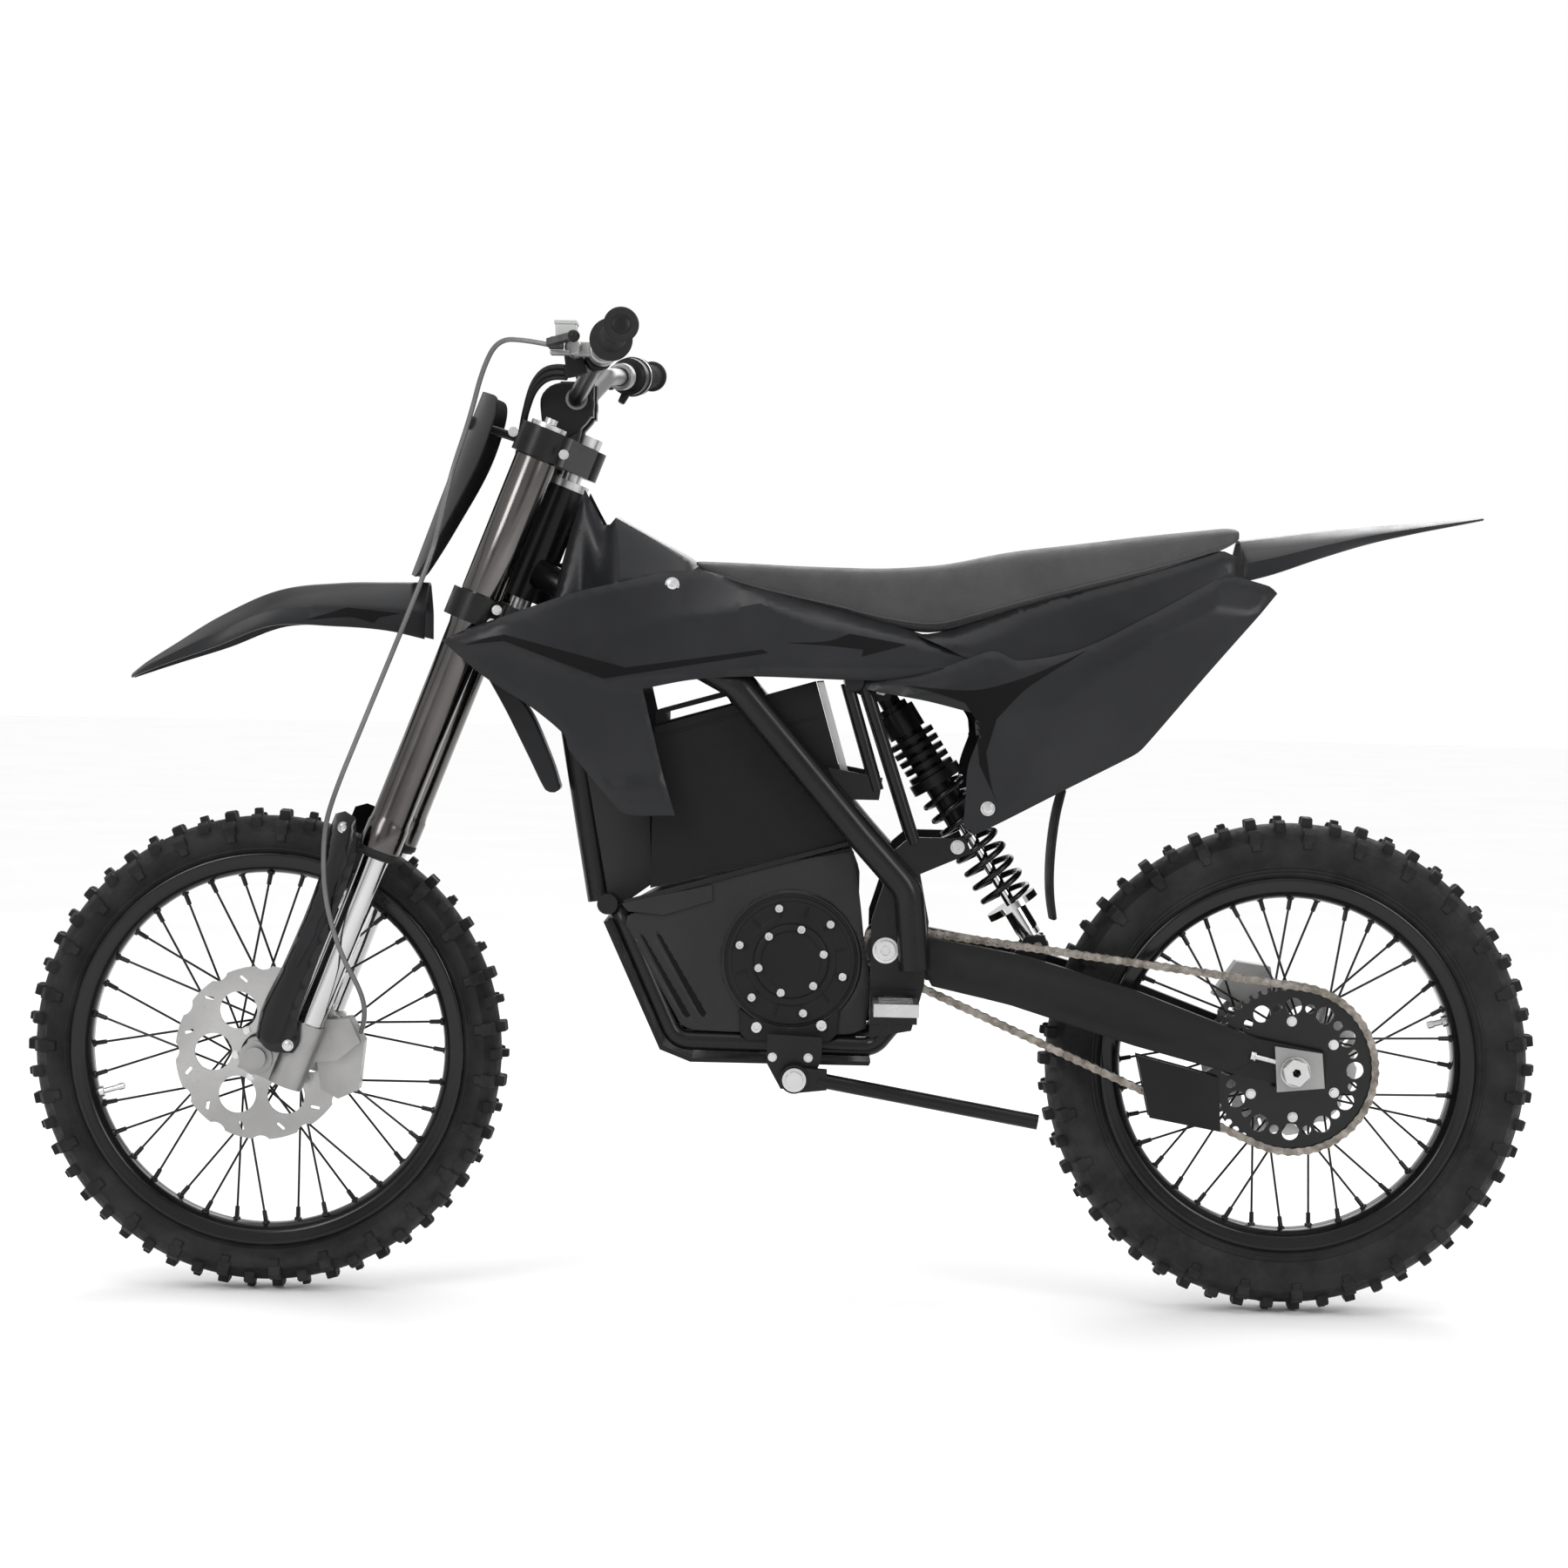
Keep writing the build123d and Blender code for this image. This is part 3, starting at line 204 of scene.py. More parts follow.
def make_vinyl():
    """Seat cover vinyl with a pebbled grain."""
    material, tree, shader = nodes_of("seat_vinyl")
    cells = tree.nodes.new("ShaderNodeTexVoronoi")
    cells.inputs["Scale"].default_value = 420.0
    place = tree.nodes.new("ShaderNodeTexCoord")
    tree.links.new(place.outputs["Object"], cells.inputs["Vector"])
    tint(tree, noise(tree, 9.0), grey(0.024), grey(0.036), shader.inputs["Base Color"])
    spread(tree, noise(tree, 60.0), 0.58, 0.72, shader.inputs["Roughness"])
    relief(tree, shader, cells, 0.0006, 0.55)
    shader.inputs["Sheen Weight"].default_value = 0.12
    return material


PLASTIC = finish_of(
    "body_plastic", (0.0105, 0.0108, 0.012), (0.0155, 0.0158, 0.0175), (0.28, 0.38), grain=1500.0,
    depth=0.00015, strength=0.3, coat=0.05,
)
VINYL = make_vinyl()
DECAL = finish_of(
    "decal_black", grey(0.0012), grey(0.002), (0.5, 0.6), grain=2200.0, strength=0.1, specular=0.12
)
FRAME_PAINT = finish_of(
    "frame_black", grey(0.005), grey(0.008), (0.22, 0.34), grain=1200.0, strength=0.22, coat=0.10
)
ARM_PAINT = finish_of(
    "arm_black", grey(0.006), grey(0.010), (0.34, 0.46), grain=1400.0, strength=0.3, coat=0.04
)
RIM_BLACK = finish_of(
    "rim_black", grey(0.004), grey(0.007), (0.16, 0.28), grain=700.0, strength=0.1, coat=0.22
)
CAST_BLACK = finish_of(
    "cast_black", grey(0.006), grey(0.010), (0.44, 0.58), grain=650.0, depth=0.0004, strength=0.4
)
CASE_GREY = finish_of(
    "case_grey", grey(0.014), grey(0.020), (0.40, 0.54), grain=650.0, depth=0.0004, strength=0.4
)
BATTERY_BLACK = finish_of(
    "battery_black", grey(0.003), grey(0.005), (0.50, 0.62), grain=1300.0, strength=0.35
)
CONTROL_BLACK = finish_of("control_black", grey(0.006), grey(0.010), (0.32, 0.46), grain=1400.0)
GLOSS_BLACK = finish_of(
    "gloss_black", grey(0.004), grey(0.006), (0.16, 0.26), grain=900.0, strength=0.08, coat=0.25
)
RUBBER = finish_of("rubber", grey(0.010), grey(0.018), (0.58, 0.74), grain=1000.0, strength=0.4)
TYRE = finish_of(
    "tyre", grey(0.008), grey(0.018), (0.50, 0.72), grain=420.0, depth=0.0006, strength=0.4,
    edge=0.0008, patch=22.0,
)
HOSE = finish_of("hose", grey(0.009), grey(0.014), (0.32, 0.46), grain=1500.0, edge=0)
CLEAR_HOSE = finish_of(
    "clear_hose", grey(0.10), grey(0.17), (0.22, 0.34), metal=0.4, grain=2200.0, edge=0
)
ALLOY = finish_of(
    "alloy", grey(0.40), grey(0.56), (0.26, 0.40), 1.0, grain=500.0, depth=0.0003, strength=0.25,
)
CAST_ALLOY = finish_of(
    "cast_alloy", grey(0.24, 0.01), grey(0.38, 0.01), (0.34, 0.50), 1.0, grain=380.0,
    depth=0.0005, strength=0.4,
)
STEEL = finish_of(
    "steel", grey(0.42), grey(0.58), (0.24, 0.38), 1.0, grain=140.0, depth=0.0002, strength=0.3,
    stretch=(1, 1, 14),
)
DISC_STEEL = finish_of(
    "disc_steel", grey(0.30, 0.01), grey(0.44, 0.01), (0.22, 0.34), 1.0, grain=160.0,
    strength=0.3, stretch=(8, 1, 1),
)
BOLT_STEEL = finish_of("bolt_steel", grey(0.50), grey(0.66), (0.20, 0.34), 1.0, grain=600.0)
CHROME = finish_of(
    "hard_chrome", grey(0.46), grey(0.58), (0.05, 0.12), 1.0, grain=60.0, strength=0.06,
    stretch=(1, 1, 0.1), edge=0,
)
BRONZE = finish_of(
    "anodised_bronze", (0.085, 0.080, 0.077), (0.130, 0.124, 0.120), (0.12, 0.20), 1.0,
    grain=90.0, strength=0.12, stretch=(12, 12, 1),
)
ANODISED = finish_of(
    "anodised_black", grey(0.014), grey(0.022), (0.26, 0.38), 0.6, grain=900.0, strength=0.2
)
BAR_GREY = finish_of("bar_grey", grey(0.15), grey(0.24), (0.28, 0.40), 1.0, grain=700.0)
CHAIN_STEEL = finish_of(
    "chain_steel", (0.15, 0.135, 0.115), (0.34, 0.31, 0.28), (0.30, 0.52), 1.0, grain=500.0,
    patch=90.0,
)
BRIGHT_RESERVOIR = finish_of(
    "reservoir", (0.34, 0.35, 0.34), (0.46, 0.47, 0.46), (0.22, 0.34), grain=800.0, coat=0.4
)

# ---------------------------------------------------------- mesh helpers

def add(name, verts, faces, body, material, slot, sharp=35.0, replaced=()):
    """A mesh piece in millimetres that rides on a body."""
    mesh = bpy.data.meshes.new(name)
    mesh.from_pydata([Vector(v) * MM for v in verts], [], faces)
    work = bmesh.new()
    work.from_mesh(mesh)
    bmesh.ops.recalc_face_normals(work, faces=work.faces)
    work.to_mesh(mesh)
    work.free()
    mesh.polygons.foreach_set("use_smooth", [True] * len(mesh.polygons))
    mesh.set_sharp_from_angle(angle=math.radians(sharp))
    piece = bpy.data.objects.new(name, mesh)
    bpy.context.scene.collection.objects.link(piece)
    piece.data.materials.append(material)
    if body:
        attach(piece, body)
    if replaced:
        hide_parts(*replaced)
    return piece


def soften(piece, width, segments=2, angle=32.0):
    """Rounded edges on a hard piece."""
    bevel = piece.modifiers.new("bevel", "BEVEL")
    bevel.width = width * MM
    bevel.segments = segments
    bevel.limit_method = "ANGLE"
    bevel.angle_limit = math.radians(angle)
    bevel.harden_normals = False
    return piece


def paint(node, material):
    """Gives a carried-over CAD node its material."""
    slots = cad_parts[node].data.materials
    slots.clear()
    slots.append(material)


class Build:
    """Gathers the vertices and faces of one piece."""

    def __init__(self):
        self.verts = []
        self.faces = []

    def push(self, verts, faces):
        """Adds a closed shape."""
        start = len(self.verts)
        self.verts.extend(Vector(v) for v in verts)
        self.faces.extend([start + i for i in face] for face in faces)
        return self

    def lathe(self, origin, axis, profile, segments=48, closed=True):
        """Spins (along, radius) pairs round an axis."""
        origin = Vector(origin)
        axis = Vector(axis).normalized()
        side = axis.orthogonal().normalized()
        other = axis.cross(side)
        verts = []
        for step in range(segments):
            turn = 2 * math.pi * step / segments
            out = side * math.cos(turn) + other * math.sin(turn)
            verts.extend(origin + axis * along + out * radius for along, radius in profile)
        count = len(profile)
        faces = []
        for step in range(segments):
            here = step * count
            there = (step + 1) % segments * count
            for i in range(count if closed else count - 1):
                j = (i + 1) % count
                faces.append([here + i, here + j, there + j, there + i])
        if not closed:
            faces.append([step * count for step in range(segments)])
            faces.append([step * count + count - 1 for step in reversed(range(segments))])
        return self.push(verts, faces)

    def rod(self, start, end, radius, segments=24, end_radius=None):
        """A round bar, which may taper."""
        start = Vector(start)
        end = Vector(end)
        length = (end - start).length
        last = radius if end_radius is None else end_radius
        return self.lathe(start, end - start, [(0, radius), (length, last)], segments, False)

    def slab(self, outline, low, high):
        """A side-view outline between two places across the bike."""
        count = len(outline)
        verts = [(x, low, z) for x, z in outline] + [(x, high, z) for x, z in outline]
        faces = [list(range(count)), list(range(count, 2 * count))]
        faces += [[i, (i + 1) % count, (i + 1) % count + count, i + count] for i in range(count)]
        return self.push(verts, faces)

    def block(self, centre, size, axes=None):
        """A box with any directions, its far face a little smaller."""
        axes = axes or (Vector((1, 0, 0)), Vector((0, 1, 0)), Vector((0, 0, 1)))
        verts = []
        for k in (-1, 1):
            taper = 1.0 if k < 0 else size[3] if len(size) > 3 else 1.0
            for i, j in ((-1, -1), (1, -1), (1, 1), (-1, 1)):
                verts.append(
                    Vector(centre)
                    + axes[0] * i * size[0] / 2 * taper
                    + axes[1] * j * size[1] / 2 * taper
                    + axes[2] * k * size[2] / 2
                )
        faces = [[3, 2, 1, 0], [4, 5, 6, 7]]
        faces += [[i, (i + 1) % 4, (i + 1) % 4 + 4, i + 4] for i in range(4)]
        return self.push(verts, faces)

    def make(self, name, body, material, slot, **more):
        """The finished piece."""
        return add(name, self.verts, self.faces, body, material, slot, **more)


def hose(name, points, radius, body, material, replaced=()):
    """A smooth hose or cable through control points."""
    curve = bpy.data.curves.new(name, "CURVE")
    curve.dimensions = "3D"
    curve.bevel_depth = radius * MM
    curve.bevel_resolution = 4
    curve.use_fill_caps = True
    curve.resolution_u = 10
    spline = curve.splines.new("NURBS")
    spline.points.add(len(points) - 1)
    for point, place in zip(spline.points, points):
        point.co = (*(Vector(place) * MM), 1)
    spline.order_u = 3
    spline.use_endpoint_u = True
    source = bpy.data.objects.new(name + "_line", curve)
    mesh = bpy.data.meshes.new_from_object(source)
    bpy.data.objects.remove(source)
    mesh.name = name
    piece = bpy.data.objects.new(name, mesh)
    bpy.context.scene.collection.objects.link(piece)
    mesh.polygons.foreach_set("use_smooth", [True] * len(mesh.polygons))
    mesh.materials.clear()
    mesh.materials.append(material)
    if body:
        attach(piece, body)
    if replaced:
        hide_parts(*replaced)
    return piece


def grid_faces(rows, columns):
    """Quads over a grid of points that is listed row by row."""
    faces = []
    for row in range(rows - 1):
        for column in range(columns - 1):
            a = row * columns + column
            faces.append([a, a + 1, a + columns + 1, a + columns])
    return faces


def tube_faces(rings, count):
    """Quads along a row of closed rings of points, with both ends capped."""
    faces = []
    for ring in range(rings - 1):
        for k in range(count):
            a = ring * count + k
            b = ring * count + (k + 1) % count
            faces.append([a, b, b + count, a + count])
    faces.append(list(range(count)))
    faces.append([(rings - 1) * count + k for k in reversed(range(count))])
    return faces


def subdivide(piece, levels):
    """A smoother surface."""
    rounding = piece.modifiers.new("round", "SUBSURF")
    rounding.levels = levels
    rounding.render_levels = levels


def thicken(piece, thickness, offset):
    """Gives a sheet its thickness."""
    solid = piece.modifiers.new("solid", "SOLIDIFY")
    solid.thickness = thickness * MM
    solid.offset = offset


def around(degrees):
    """The outward and the forward direction at an angle round an axle."""
    angle = math.radians(degrees)
    out = Vector((math.cos(angle), 0, math.sin(angle)))
    return out, Vector((-out.z, 0, out.x))


def on_axle(axle, across=0.0):
    """A point on an axle, at a distance across the bike."""
    return Vector((axle[0], across, axle[1]))


def hex_head(build, place, axis, radius, height):
    """A flanged hexagon bolt head."""
    place = Vector(place)
    axis = Vector(axis).normalized()
    build.lathe(place, axis, [(0, radius * 1.25), (height * 0.25, radius * 1.25)], 20, False)
    build.lathe(place + axis * height * 0.2, axis, [(0, radius), (height * 0.8, radius)], 6, False)
    return build


# ----------------------------------------------------------- stage, camera

def make_stage():
    """A pale floor and soft studio light."""
    bpy.ops.mesh.primitive_circle_add(vertices=96, radius=30, fill_type="NGON")
    floor = bpy.context.object
    floor.name = "floor"
    material, tree, shader = nodes_of("floor")
    tint(tree, noise(tree, 1.5), grey(0.86), grey(0.88), shader.inputs["Base Color"])
    shader.inputs["Roughness"].default_value = 0.75
    floor.data.materials.append(material)
    bpy.context.scene.view_settings.view_transform = "Standard"
    world = bpy.data.worlds.new("studio")
    bpy.context.scene.world = world
    world.use_nodes = True
    tree = world.node_tree
    place = tree.nodes.new("ShaderNodeTexCoord")
    split = tree.nodes.new("ShaderNodeSeparateXYZ")
    bands = tree.nodes.new("ShaderNodeValToRGB")
    tree.links.new(place.outputs["Generated"], split.inputs["Vector"])
    shift = tree.nodes.new("ShaderNodeMapRange")
    shift.inputs["From Min"].default_value = -1.0
    tree.links.new(split.outputs["X"], shift.inputs["Value"])
    tree.links.new(shift.outputs["Result"], bands.inputs["Fac"])
    ramp = bands.color_ramp
    ramp.elements[0].position = 0.0
    ramp.elements[0].color = (*grey(1.0), 1)
    ramp.elements[1].position = 1.0
    ramp.elements[1].color = (*grey(1.0), 1)
    for where, value in (
        (0.22, 1.3), (0.33, 0.35), (0.42, 1.0), (0.58, 1.0), (0.68, 0.3), (0.80, 1.2),
    ):
        ramp.elements.new(where).color = (*grey(value), 1)
    seen = tree.nodes.new("ShaderNodeLightPath")
    studio = tree.nodes["Background"]
    studio.inputs["Strength"].default_value = 0.8
    tree.links.new(bands.outputs["Color"], studio.inputs["Color"])
    plain = tree.nodes.new("ShaderNodeBackground")
    plain.inputs["Color"].default_value = (1, 1, 1, 1)
    mix = tree.nodes.new("ShaderNodeMixShader")
    tree.links.new(seen.outputs["Is Camera Ray"], mix.inputs["Fac"])
    tree.links.new(studio.outputs["Background"], mix.inputs[1])
    tree.links.new(plain.outputs["Background"], mix.inputs[2])
    tree.links.new(mix.outputs["Shader"], tree.nodes["World Output"].inputs["Surface"])
    sky = bpy.data.lights.new("sky", "SUN")
    sky.energy = 1.3
    sky.angle = math.radians(70)
    overhead = bpy.data.objects.new("sky", sky)
    bpy.context.scene.collection.objects.link(overhead)
    lights = (
        ("left", (-2.2, -3.2, 2.6), (1.2, 2.0), 60),
        ("right", (2.6, -2.8, 2.2), (1.2, 1.8), 45),
        ("back", (0.6, 3.0, 2.4), (3.0, 1.4), 45),
    )
    for name, place, size, power in lights:
        lamp = bpy.data.lights.new(name, "AREA")
        lamp.shape = "RECTANGLE"
        lamp.size, lamp.size_y = size
        lamp.energy = power
        light = bpy.data.objects.new(name, lamp)
        light.location = place
        aim = Vector((0, 0, 0.6)) - Vector(place)
        light.rotation_euler = aim.to_track_quat("-Z", "Y").to_euler()
        bpy.context.scene.collection.objects.link(light)


def make_camera():
    """A long lens, square to the left side, with the photograph's slight roll."""
    data = bpy.data.cameras.new("camera")
    data.sensor_width = 36.0
    data.lens = 80.4
    camera = bpy.data.objects.new("camera", data)
    place = Vector((0.0273, -4.5, 0.8454))
    aim = Vector((-0.0024, 0.0, 0.6656)) - place
    roll = Matrix.Rotation(math.radians(CAMERA_ROLL), 4, "Z")
    camera.matrix_world = (
        Matrix.Translation(place) @ aim.to_track_quat("-Z", "Y").to_matrix().to_4x4() @ roll
    )
    bpy.context.scene.collection.objects.link(camera)
    bpy.context.scene.camera = camera


make_stage()
make_camera()

# ---------------------------------------------------------------- wheels

def crown(across, outer_r, half):
    """The tread's radius at a distance across."""
    return outer_r - 20.0 * (across / (half - 5.0)) ** 2


def make_tyre(name, axle, outer_r, width, rim_r, rim_width, body):
    """A knobbly off-road tyre: a smooth carcass with tapered tread blocks."""
    half = width / 2
    bead = rim_width / 2 - 4.6
    foot = rim_r + 0.6
    profile = [(-(bead - 8), foot), (-bead, foot), (-bead, foot + 11), (-bead - 3, foot + 14)]
    for t in range(9):
        share = t / 8
        across = bead + 3 + (half - 4.5 - bead - 3) * math.sin(share * math.pi / 2)
        radius = foot + 14 + (outer_r - 30 - foot - 14) * share
        profile.append((-across, radius))
    for t in range(1, 12):
        across = (half - 6.5) * math.cos(math.pi * t / 12)
        radius = crown(across, outer_r, half) - KNOB_DEPTH
        profile.append((-across, radius))
    profile += [(-a, r) for a, r in reversed(profile[:13])]
    profile += [(bead - 8, foot + 10), (half - 16, outer_r - 34), (0, outer_r - 22)]
    profile += [(16 - half, outer_r - 34), (8 - bead, foot + 10)]
    carcass = Build().lathe(on_axle(axle), ACROSS, profile, 160)
    carcass.make(name, body, TYRE, "tyre", sharp=50, replaced=(name,))
    blocks = Build()
    rings = Build()
    for row in range(KNOB_ROWS):
        out, along = around(360 * row / KNOB_ROWS)
        if row % 2:
            spots = [(-9.5, 15.0, 15.0), (9.5, 15.0, 15.0)]
            spots += [(-half + 9.0, 16.0, 17.0), (half - 9.0, 16.0, 17.0)]
        else:
            spots = [(0.0, 17.0, 11.0), (-23.0, 14.0, 15.0), (23.0, 14.0, 15.0)]
        for across, wide, long in spots:
            lean = -across / (half - 5.0) * 0.62
            shift = 0.0 if abs(across) < 20 else math.copysign(2.0, across)
            up = (out * math.cos(lean) - ACROSS * math.sin(lean)).normalized()
            side = (ACROSS * math.cos(lean) + out * math.sin(lean)).normalized()
            top = crown(across, outer_r, half) - 1.0
            centre = on_axle(axle, across + shift) + out * (top - 7.0)
            blocks.block(centre, (wide, long, 14.0, 0.86), (side, along, up))
    for row in range(1, KNOB_ROWS, 2):
        out, along = around(360 * row / KNOB_ROWS)
        for side in (-1, 1):
            centre = on_axle(axle, side * (half - 5.6)) + out * (outer_r - 33)
            blocks.block(centre, (20.0, 13.0, 6.0, 0.8), (out, along, ACROSS * side))
    for side in (-1, 1):
        for radius, high in ((foot + 17.0, 1.3), (foot + 22.0, 0.9)):
            ring = [(-1.2, radius - 1.5), (1.2, radius - 1.5)]
            ring += [(1.2, radius + high), (-1.2, radius + high)]
            start = on_axle(axle, side * (bead + 4.6 if high > 1 else bead + 8.2))
            rings.lathe(start, ACROSS, ring, 120)
    tread = blocks.make(name + "_tread", body, TYRE, "tyre", sharp=30)
    soften(tread, 1.1, 2)
    rings.make(name + "_bead_lines", body, TYRE, "tyre")


def make_rim(name, axle, seat_r, width, body, turns):
    """A drop-centre rim with rolled lips, spoke nipples, a valve and a rim lock."""
    edge = width / 2
    lip = [
        (15.5, -9), (12.5, -1.5), (5.5, -0.6), (4.0, 1), (3.8, 9), (2.8, 11), (0.8, 10.8),
        (-0.4, 9), (-0.2, 6), (1.2, 2), (0.6, -4), (3.0, -8), (10.5, -13.2), (15.5, -15),
    ]
    half = [(a - edge, seat_r + r) for a, r in lip]
    profile = half + [(-a, r) for a, r in reversed(half)]
    rim = Build().lathe(on_axle(axle), ACROSS, profile, 144)
    rim.make(name, body, RIM_BLACK, "rim_black", sharp=40, replaced=(name,))
    parts = Build()
    for index in range(SPOKES):
        side = -1 if index % 2 else 1
        leading = (index // 2) % 2 == 0
        turn = 360 * index / SPOKES
        hub = around(turn + (58 if leading else -58))[0] * 38
        hub += ACROSS * side * (37.2 if leading else 30.8)
        end = around(turn)[0] * (seat_r - 15.5) + ACROSS * side * (9.0 if leading else 4.0)
        way = (hub - end).normalized()
        start = on_axle(axle) + end - way * 1.5
        parts.lathe(start, way, [(0, 5.2), (3.0, 4.8), (4.0, 3.1), (17.0, 2.9)], 12, False)
    parts.make(name + "_nipples", body, RIM_BLACK, "rim_black")
    for label, turn, radius, long, material, slot in (
        ("valve", turns[0], 3.6, 34.0, BOLT_STEEL, "bolt_steel"),
        ("lock", turns[1], 4.0, 26.0, STEEL, "steel"),
    ):
        out = around(turn)[0]
        base = on_axle(axle) + out * (seat_r - 14.5)
        stem = Build()
        profile = [(0, radius + 3.5), (6, radius + 3.5), (6.5, radius), (long - 9, radius)]
        profile += [(long - 8.5, radius + 1), (long - 1, radius + 1), (long, radius * 0.6)]
        stem.lathe(base, -out, profile, 18, False)
        stem.make(f"{name}_{label}", body, material, slot)


def make_wheels():
    """Both wheels' tyres, rims and small fittings."""
    wheels = (
        ("front", FRONT_AXLE, FRONT_R, FRONT_WIDTH, FRONT_RIM_R, FRONT_RIM_WIDTH, (196.0, 64.0)),
        ("rear", REAR_AXLE, REAR_R, REAR_WIDTH, REAR_RIM_R, REAR_RIM_WIDTH, (158.0, 16.0)),
    )
    for name, axle, outer_r, width, rim_r, rim_width, _ in wheels:
        make_tyre(name + "_tyre", axle, outer_r, width, rim_r, rim_width, name + "_wheel")
    for name, axle, _, _, rim_r, rim_width, turns in wheels:
        make_rim(name + "_rim", axle, rim_r, rim_width, name + "_wheel", turns)
    for name, axle, face, radius, first, size, body in (
        ("front", FRONT_AXLE, -59.5, 34.0, 5, 4.4, "front_wheel"),
        ("rear", REAR_AXLE, 56.0, 34.0, 5, 4.4, "rear_wheel"),
        ("sprocket", REAR_AXLE, CHAIN_Y - 3.0, 61.0, 32, 5.2, "rear_wheel"),
    ):
        bolts = Build()
        for index in range(6):
            place = on_axle(axle, face) + around(first + 60 * index)[0] * radius
            hex_head(bolts, place, (0, math.copysign(1, face), 0), size, 4.0)
        bolts.make(name + "_bolts", body, BOLT_STEEL, "bolt_steel")


# ----------------------------------------------------------------- chain

def chain_line():
    """The loop round both sprockets, as a place for every pin."""
    front_r = CHAIN_PITCH / 2 / math.sin(math.pi / FRONT_TEETH)
    rear_r = CHAIN_PITCH / 2 / math.sin(math.pi / REAR_TEETH)
    front = Vector((PIVOT[0], PIVOT[1]))
    rear = Vector((REAR_AXLE[0], REAR_AXLE[1]))
    span = rear - front
    base = math.atan2(span.y, span.x)
    lean = math.acos((front_r - rear_r) / span.length)
    points = []

    def arc(centre, radius, start, end, count):
        for step in range(count + 1):
            angle = start + (end - start) * step / count
            points.append(centre + Vector((math.cos(angle), math.sin(angle))) * radius)

    arc(front, front_r, base + lean, base + 2 * math.pi - lean, 60)
    arc(rear, rear_r, base - lean, base + lean, 200)
    lengths = [0.0]
    for a, b in zip(points, points[1:] + points[:1]):
        lengths.append(lengths[-1] + (b - a).length)
    total = lengths[-1]
    count = 2 * round(total / CHAIN_PITCH / 2)
    loop = points + points[:1]
    pins = []
    index = 0
    for pin in range(count):
        want = total * pin / count
        while lengths[index + 1] < want:
            index += 1
        share = (want - lengths[index]) / (lengths[index + 1] - lengths[index])
        pins.append(loop[index].lerp(loop[index + 1], share))
    return pins


def make_chain():
    """Every link of the chain: rollers, and inner and outer side plates in turn."""
    pins = chain_line()
    build = Build()
    rollers = Build()
    for index, pin in enumerate(pins):
        after = pins[(index + 1) % len(pins)]
        way = (after - pin).normalized()
        side = Vector((-way.y, way.x))
        outline = []
        waist = (pin + after) / 2
        for end, first, dip in ((pin, 90, -3.9), (after, -90, 3.9)):
            for turn in range(9):
                angle = math.radians(first + 22.5 * turn)
                outline.append(end + (way * math.cos(angle) + side * math.sin(angle)) * LINK_R)
            outline.append(waist + side * dip)
        offset = 6.0 if index % 2 else 4.5
        for sign in (-1, 1):
            low = CHAIN_Y + sign * offset
            high = low + sign * 1.35
            build.slab([(p.x, p.y) for p in outline], min(low, high), max(low, high))
        rivet = [(0, 1.2), (0.4, 1.9), (15.6, 1.9), (16, 1.2)]
        rollers.lathe(on_axle(pin, CHAIN_Y - 8.0), ACROSS, rivet, 10, False)
        rollers.lathe(on_axle(pin, CHAIN_Y - 4.2), ACROSS, [(0, 3.7), (8.4, 3.7)], 14, False)
    build.make("chain_plates", "rear_arm", CHAIN_STEEL, "chain_steel", replaced=("chain",))
    rollers.make("chain_rollers", "rear_arm", CHAIN_STEEL, "chain_steel")


# ------------------------------------------------------------------ fork

def make_fork():
    """Fork outer tubes with seals, caps with adjusters, clamp pinch bolts."""
    outers = Build()
    seals = Build()
    caps = Build()
    bolts = Build()
    for side in (-1, 1):
        y = LEG_Y * side
        start = fork_point(0.0, y=y)
        profile = [
            (0, 24.5), (1.5, 26.0), (32, 26.0), (34, 26.6), (214, 26.6), (217, 26.0),
            (256, 26.0), (262, 25.0), (420, 24.6), (520, 24.6), (528, 25.4), (530, 26.4),
            (560, 26.4), (564, 25.6),
        ]
        outers.lathe(start, FORK_DOWN, profile, 56, False)
        seal = [(0, 25.0), (1, 26.8), (7, 26.8), (8, 25.2), (11, 23.8), (12.5, 19.6)]
        seals.lathe(start + FORK_DOWN * 562, FORK_DOWN, seal, 48, False)
        for down, ahead in ((13.7, 36.0), (16.3, -33.0), (227.0, -28.0), (245.0, -28.0)):
            hex_head(bolts, fork_point(down, ahead, y + side * 33.0), (0, side, 0), 5.0, 6.0)
        top = start - FORK_DOWN * 8.0
        caps.lathe(top, -FORK_DOWN, [(0, 12.5), (5.0, 12.5)], 6, False)
        caps.lathe(top - FORK_DOWN * 4.5, -FORK_DOWN, [(0, 8.0), (2.5, 7.4), (3.2, 5)], 24, False)
    outers.make(
        "fork_outers", "steering", BRONZE, "anodised_bronze", replaced=("fork_outer_tubes",)
    )
    seals.make("fork_seals", "steering", RUBBER, "anodised_bronze")
    caps.make("fork_cap_hexes", "steering", BRONZE, "alloy")
    bolts.make("fork_pinch_bolts", "steering", BOLT_STEEL, "bolt_steel")


# ------------------------------------------------------------ rear shock

